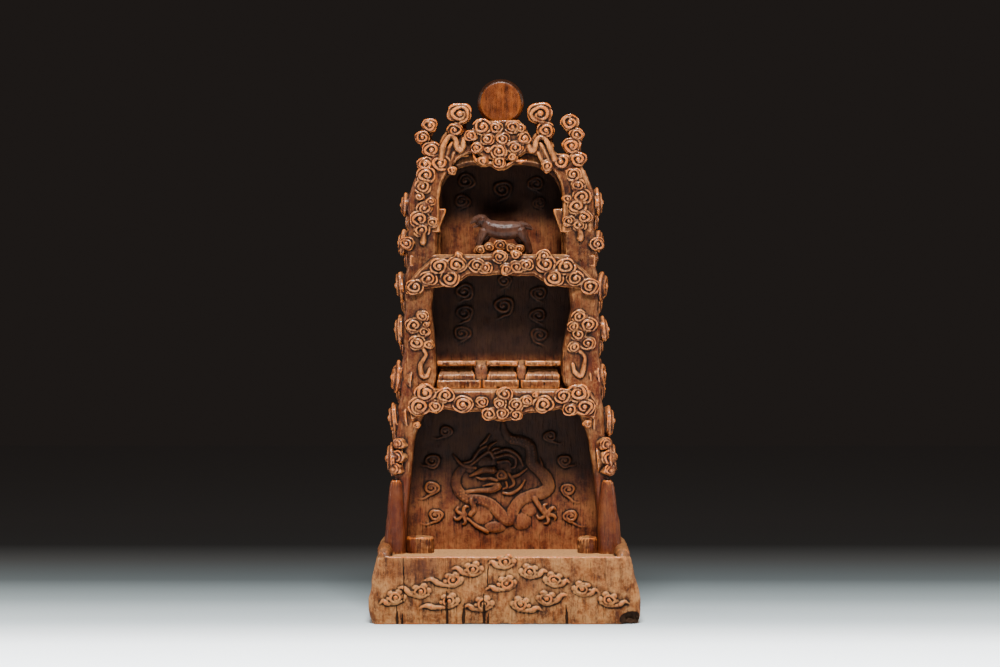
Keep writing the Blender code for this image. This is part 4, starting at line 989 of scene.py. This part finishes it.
# %% [markdown]
# ## Waxed hardwood
# Dense dark hardwood, rubbed with wax and handled for generations. Its long fibres run upwards with fine open vessels
# as dark dashes. High points are polished to a warm orange brown, raised cords are paler as rubbed wear with a painted
# highlight, a dull pinkish dust lies in blotches and on what faces up, and grooves and hollows get painted shade,
# nearly black. Deep under each niche's ceiling the wood gets painted shade too.

# %% Colours, nodes and the wood
# The colour of painted shade: deep under the niches' ceilings, over the tower by height and on the sun's upper bevel
PAINTED_SHADE_BLACK = "#110501"


def linear(code, alpha=1.0):
    """An sRGB hex colour as linear values: c / 12.92 when dark, else ((c + 0.055) / 1.055) ^ 2.4."""
    parts = [int(code[i:i + 2], 16) / 255 for i in (1, 3, 5)]
    return tuple(c / 12.92 if c <= 0.04045 else ((c + 0.055) / 1.055) ** 2.4 for c in parts) + (alpha,)


def node(tree, kind, *inputs, named=(), give=0, stops=(), **settings):
    """A node with its settings and links, which gives back one output.

    Inputs come in their order or by name or number: a socket is joined, anything else is set as a value.
    Stops are a colour ramp's places between 0 and 1, each with a colour or a grey.
    """
    made = tree.nodes.new("ShaderNode" + kind)
    for name, value in settings.items():
        setattr(made, name, value)
    for spot, value in [*enumerate(inputs), *dict(named).items()]:
        if isinstance(value, bpy.types.NodeSocket):
            tree.links.new(value, made.inputs[spot])
        else:
            made.inputs[spot].default_value = value
    while stops and len(made.color_ramp.elements) < len(stops):
        made.color_ramp.elements.new(0.5)
    for element, (place, colour) in zip(made.color_ramp.elements if stops else (), stops):
        element.position = place
        element.color = colour if isinstance(colour, tuple) else (colour, colour, colour, 1)
    return made.outputs[give]


# Name, stretch along the height, scale, detail, roughness and distortion. A scale of 300 is one wave in
# 3.3 mm, for fibres; 105 is 9.5 mm, for bands; 1100 is 0.9 mm, for open vessels, drawn coarse enough to
# show; 85 is 12 mm, for blotches of wax and dust; 520 is 1.9 mm, for specks.
PATTERNS = (
    ("grain", 0.085, 300, 6, 0.65, 0), ("broad", 0.085, 105, 3, 0.5, 0.8), ("pores", 0.11, 1100, 2, 0.5, 0),
    ("blotch", 1, 85, 6, 0.68, 0), ("speck", 1, 520, 4, 0.7, 0),
)


def waxed_hardwood(name, dark, body, bright, cord_tan, worn, dust, groove, handled_red="#4c1a08", rough=0.55,
                   polish=0.3, dusty=0.6, lacquer=0.9):
    """Wood: stretched noise for grain and vessels, then dust, worn ridges with a painted highlight, and painted shade
    in grooves, hollows and under the niches' ceilings laid over it.
    """
    material = bpy.data.materials.new(name)
    material.use_nodes = True
    tree = material.node_tree
    add = partial(node, tree)
    shader = tree.nodes["Principled BSDF"]
    for socket, value in (("IOR", 1.5), ("Coat Roughness", 0.16), ("Specular IOR Level", 0.12)):
        shader.inputs[socket].default_value = value
    place = add("TexCoord", give="Object")
    grain, broad, pores, blotch, speck = (
        add("TexNoise", add("Mapping", place, named={"Scale": (1, 1, stretch)}),
            named={"Scale": scale, "Detail": detail, "Roughness": harsh, "Distortion": bend})
        for _, stretch, scale, detail, harsh, bend in PATTERNS
    )
    ridge, hollow, handled, painted_shade = (
        add("Attribute", attribute_name=label, give="Fac") for label in ("ridge", "hollow", "handled", "painted_shade")
    )
    upward = add("SeparateXYZ", add("NewGeometry", give="Normal"), give="Z")
    rub = add("Math", ridge, 0.5, 0.5, operation="MULTIPLY_ADD")
    swell = add("Math", hollow, 0.5, 0.5, operation="MULTIPLY_ADD")
    # Dust lies in blotches, and most on what faces up; hands have rubbed it off
    dull = add("Math", blotch, 0.6, add("Math", speck, 0.4, operation="MULTIPLY"), operation="MULTIPLY_ADD")
    dull = add("ValToRGB", dull, stops=((0.44, 0.0), (0.60, 0.75 * dusty)))
    lying = add("ValToRGB", upward, stops=((0.15, 0.0), (0.85, 1.105 * dusty)))
    clean = add("Math", handled, -0.85, 1.0, operation="MULTIPLY_ADD")
    cover = add("Math", add("Math", dull, lying, operation="MAXIMUM"), clean, operation="MULTIPLY")
    # Raised cords are made paler, partly as rubbed wear and partly as a painted highlight on their crests, except under
    # painted shade; the highest knobs are worn to orange; grooves and hollows get painted shade
    raised = add("ValToRGB", rub, stops=((0.58, 0.0), (0.84, 1.0)))
    patchy = add("ValToRGB", blotch, stops=((0.36, 0.2975), (0.58, 0.85)))
    bare = add("Math", add("Math", painted_shade, handled, operation="MAXIMUM"), -0.93, 1.0, operation="MULTIPLY_ADD")
    # Paler cords: partly rubbed wear, partly a painted highlight on their crests
    tanned = add("Math", add("Math", raised, patchy, operation="MULTIPLY"), bare, operation="MULTIPLY")
    proud = add("Math", add("ValToRGB", rub, stops=((0.64, 0.0), (0.86, 1.0))),
                add("ValToRGB", swell, stops=((0.51, 0.0), (0.72, 1.0))), operation="MULTIPLY")
    knobs = add("Math", proud, add("Math", painted_shade, -0.9, 1.0, operation="MULTIPLY_ADD"), operation="MULTIPLY")
    # Painted shade in grooves and hollows, from how far each point lies in
    shade = add("Math", add("ValToRGB", rub, stops=((0.28, 1.0), (0.475, 0.0))),
                add("ValToRGB", swell, stops=((0.24, 0.85), (0.48, 0.0))), operation="MAXIMUM")
    vessel = add("ValToRGB", pores, stops=((0.33, 1.0), (0.42, 0.0)))
    # The wood's own colour, and over it one layer after another: where it lies, how strongly, its colour
    mottle = add("Math", grain, 0.5, add("Math", blotch, 0.5, operation="MULTIPLY"), operation="MULTIPLY_ADD")
    colour = add("ValToRGB", mottle, stops=((0.38, linear(dark)), (0.49, linear(body)), (0.64, linear(bright))))
    bands = add("ValToRGB", broad, stops=((0.48, 0.0), (0.66, 0.6)))
    # The near-black layer is painted shade. The groove colour is painted shade in grooves and hollows, and is also the
    # pores' own dark. The tan on cords is partly painted highlight.
    for where, strength, tint in (
        (bands, 1, handled_red), (handled, 0.72, handled_red), (cover, 1, dust), (painted_shade, 0.93, PAINTED_SHADE_BLACK),
        (tanned, 1, cord_tan), (knobs, 1, worn), (shade, 0.92, groove), (vessel, 0.4, groove),
    ):
        share = add("Math", where, strength, operation="MULTIPLY")
        colour = add("Mix", share, named={6: colour, 7: linear(tint)}, give=2, data_type="RGBA")
    tree.links.new(colour, shader.inputs["Base Color"])
    # Polished where it is rubbed, dull where dust lies and in the grooves and hollows that get painted shade
    gloss = add("Mix", proud, named={2: rough, 3: polish})
    gloss = add("Mix", add("Math", cover, shade, operation="MAXIMUM"), named={2: gloss, 3: 0.78})
    tree.links.new(gloss, shader.inputs["Roughness"])
    sheen = add("Math", proud, add("Math", handled, 0.12, operation="MULTIPLY"), operation="MAXIMUM")
    sheen = add("Math", add("Math", raised, 0.6, operation="MULTIPLY"), sheen, operation="MAXIMUM")
    # Less coat where painted shade lies
    unshaded = add("Math", painted_shade, -0.95 * lacquer, lacquer, operation="MULTIPLY_ADD")
    tree.links.new(add("Math", sheen, unshaded, operation="MULTIPLY"), shader.inputs["Coat Weight"])
    relief = add("Math", grain, 0.6, add("Math", speck, 0.5, operation="MULTIPLY"), operation="MULTIPLY_ADD")
    relief = add("Math", vessel, -0.8, relief, operation="MULTIPLY_ADD")
    bump = add("Bump", named={"Strength": 0.5, "Distance": 0.5 * MM, "Height": relief})
    tree.links.new(bump, shader.inputs["Normal"])
    return material


# Dark, body and bright wood, rubbed cord with painted highlight, worn knob, dust, and painted groove shade that also
# colours the pores
WOOD = waxed_hardwood("waxed_hardwood",
                      "#260f09", "#50220b", "#733b15", "#d2965c", "#ac5410", "#8c6038", "#0c0401")
PLINTH_WOOD = waxed_hardwood("dry_weathered_hardwood",
                             "#341a0c", "#6b3a17", "#8f5a2a", "#b08050", "#a05018", "#9c7148", "#0e0502",
                             "#38170a", dusty=0.75, lacquer=0.35)
# The back wall's wood: dim cords and little coat, as painted shade for the reliefs deep in the niches
BACK_WOOD = waxed_hardwood("back_wall_hardwood",
                           "#2e140c", "#642e16", "#874e28", "#80502a", "#743a12", "#8c5c34", "#080200", lacquer=0.3)
BEAST_WOOD = waxed_hardwood("handled_dark_hardwood",
                            "#20100a", "#42251a", "#5a3828", "#6e4a38", "#6c4028", "#705242", "#080201",
                            "#3a180e", 0.34, 0.2, 0.25, 0.8)
SUN_WOOD = waxed_hardwood("rubbed_sun_disc",
                          "#2c1108", "#55260e", "#763c16", "#7e4418", "#7c3c10", "#6a4020", "#120501",
                          "#401a0a", 0.34, 0.24, 0.25, 0.4)
print("materials", [m.name for m in (WOOD, PLINTH_WOOD, BACK_WOOD, BEAST_WOOD, SUN_WOOD)])

# %% Dress every piece and let it ride with the block
PIECES = {
    plinth: PLINTH_WOOD, back_wall: BACK_WOOD, seats: WOOD, left_side: WOOD, right_side: WOOD,
    upper_shelf: WOOD, lower_shelf: WOOD, crest: WOOD, sun: SUN_WOOD, beast: BEAST_WOOD, mound: WOOD, stubs: WOOD,
}
for piece, material in PIECES.items():
    piece.data.materials.clear()
    piece.data.materials.append(material)
    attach(piece, "root")
    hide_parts("shrine")
print("faces in all", sum(len(piece.data.polygons) for piece in PIECES))

# %% [markdown]
# ## Floor, backdrop, light and camera
# A pale floor with painted light: a painted glow near the shrine, and painted shade that darkens it to black behind the
# shrine and past 0.75 m to the sides and front. One large soft light shines from above and in front. Two tall narrow
# lights behind the shoulders give the thin warm glints on both edges.

# %% Stage
def plane(name, corners, material):
    mesh = bpy.data.meshes.new(name)
    mesh.from_pydata(corners, [], [(0, 1, 2, 3)])
    thing = bpy.data.objects.new(name, mesh)
    bpy.context.scene.collection.objects.link(thing)
    mesh.materials.append(material)
    return thing


BACKDROP = "#231f1d"


def floor_with_painted_light(name, stops):
    """A matt floor with painted light: pale and glowing near the shrine, then painted shade that darkens it towards the
    backdrop's dark behind the shrine and past 0.75 m elsewhere, where it glows faintly in the backdrop's colour.
    """
    material = bpy.data.materials.new(name)
    material.use_nodes = True
    tree = material.node_tree
    shader = tree.nodes["Principled BSDF"]
    shader.inputs["Roughness"].default_value = 0.9
    shader.inputs["Specular IOR Level"].default_value = 0.1
    add = partial(node, tree)
    place = add("TexCoord", give="Object")
    across, back = (add("SeparateXYZ", place, give=axis) for axis in "XY")
    aside = add("Math", add("Math", across, operation="ABSOLUTE"), 0.75, operation="SUBTRACT")
    ahead = add("Math", back, -1.0, -0.75, operation="MULTIPLY_ADD")
    far = add("Math", add("Math", aside, ahead, operation="MAXIMUM"), back, operation="MAXIMUM")
    share = add("MapRange", far, named={"From Min": -0.3, "From Max": 0.9})
    # Base colour: painted falloff of light from pale to black; emission: a painted glow near the shrine, and far off a
    # faint glow in the backdrop's colour
    for socket, places in (
        ("Base Color", stops),
        ("Emission Color", ((0.3, (1.5, 1.8, 2.0, 1.0)), (0.5, linear(BACKDROP)))),
        ("Emission Strength", ((0.0, 1.0), (0.17, 0.10), (0.24, 0.0), (0.55, 0.0), (0.92, 0.74))),
    ):
        tree.links.new(add("ValToRGB", share, stops=places), shader.inputs[socket])
    return material


# Floor colours from near to far: painted falloff of the light into shade
FLOOR_FALLOFF_STOPS = ((0.0, "#fcfeff"), (0.12, "#f2f7fa"), (0.22, "#a6b0b4"), (0.34, "#6b7578"), (0.455, "#3c4244"),
               (0.587, "#2a2b2b"), (0.70, "#0a0a0a"), (0.92, "#000000"))
pale = floor_with_painted_light("painted_light_floor", [(place, linear(code)) for place, code in FLOOR_FALLOFF_STOPS])
plane("floor", [(-4, -2.2, -0.0002), (4, -2.2, -0.0002), (4, 2.0, -0.0002), (-4, 2.0, -0.0002)], pale)


def soft_light(name, place, target, size, power, colour=(1, 1, 1)):
    light = bpy.data.lights.new(name, "AREA")
    light.shape = "RECTANGLE"
    light.size, light.size_y = size
    light.energy = power
    light.color = colour
    thing = bpy.data.objects.new(name, light)
    bpy.context.scene.collection.objects.link(thing)
    away = np.asarray(place, float) - np.asarray(target, float)
    flat = math.hypot(away[0], away[1])
    thing.location = place
    thing.rotation_euler = (math.atan2(flat, away[2]), 0, math.atan2(away[0], -away[1]))
    return thing


MIDDLE = (0, 0, 0.2)
soft_light("overhead", (0.0, -0.87, 1.54), MIDDLE, (0.5, 0.35), 92)
soft_light("left_edge", (-0.95, 0.12, 0.50), MIDDLE, (0.2, 0.9), 10, (1, 0.88, 0.76))
soft_light("right_edge", (0.95, 0.12, 0.50), MIDDLE, (0.2, 0.9), 10, (1, 0.88, 0.76))
soft_light("low_fill", (0.0, -2.6, 0.5), MIDDLE, (1.6, 0.8), 0.6)

world = bpy.data.worlds.new("studio")
bpy.context.scene.world = world
world.use_nodes = True
world.node_tree.nodes["Background"].inputs["Color"].default_value = linear(BACKDROP)
world.node_tree.nodes["Background"].inputs["Strength"].default_value = 1.0

# %% Camera
lens = bpy.data.cameras.new("front_camera")
lens.sensor_width = 36
lens.lens = FOCAL / IMAGE_WIDTH * 36
lens.clip_start, lens.clip_end = 0.05, 20
camera = bpy.data.objects.new("front_camera", lens)
bpy.context.scene.collection.objects.link(camera)
camera.location = EYE
camera.rotation_euler = (math.pi / 2 - DOWN, 0, 0)
bpy.context.scene.camera = camera
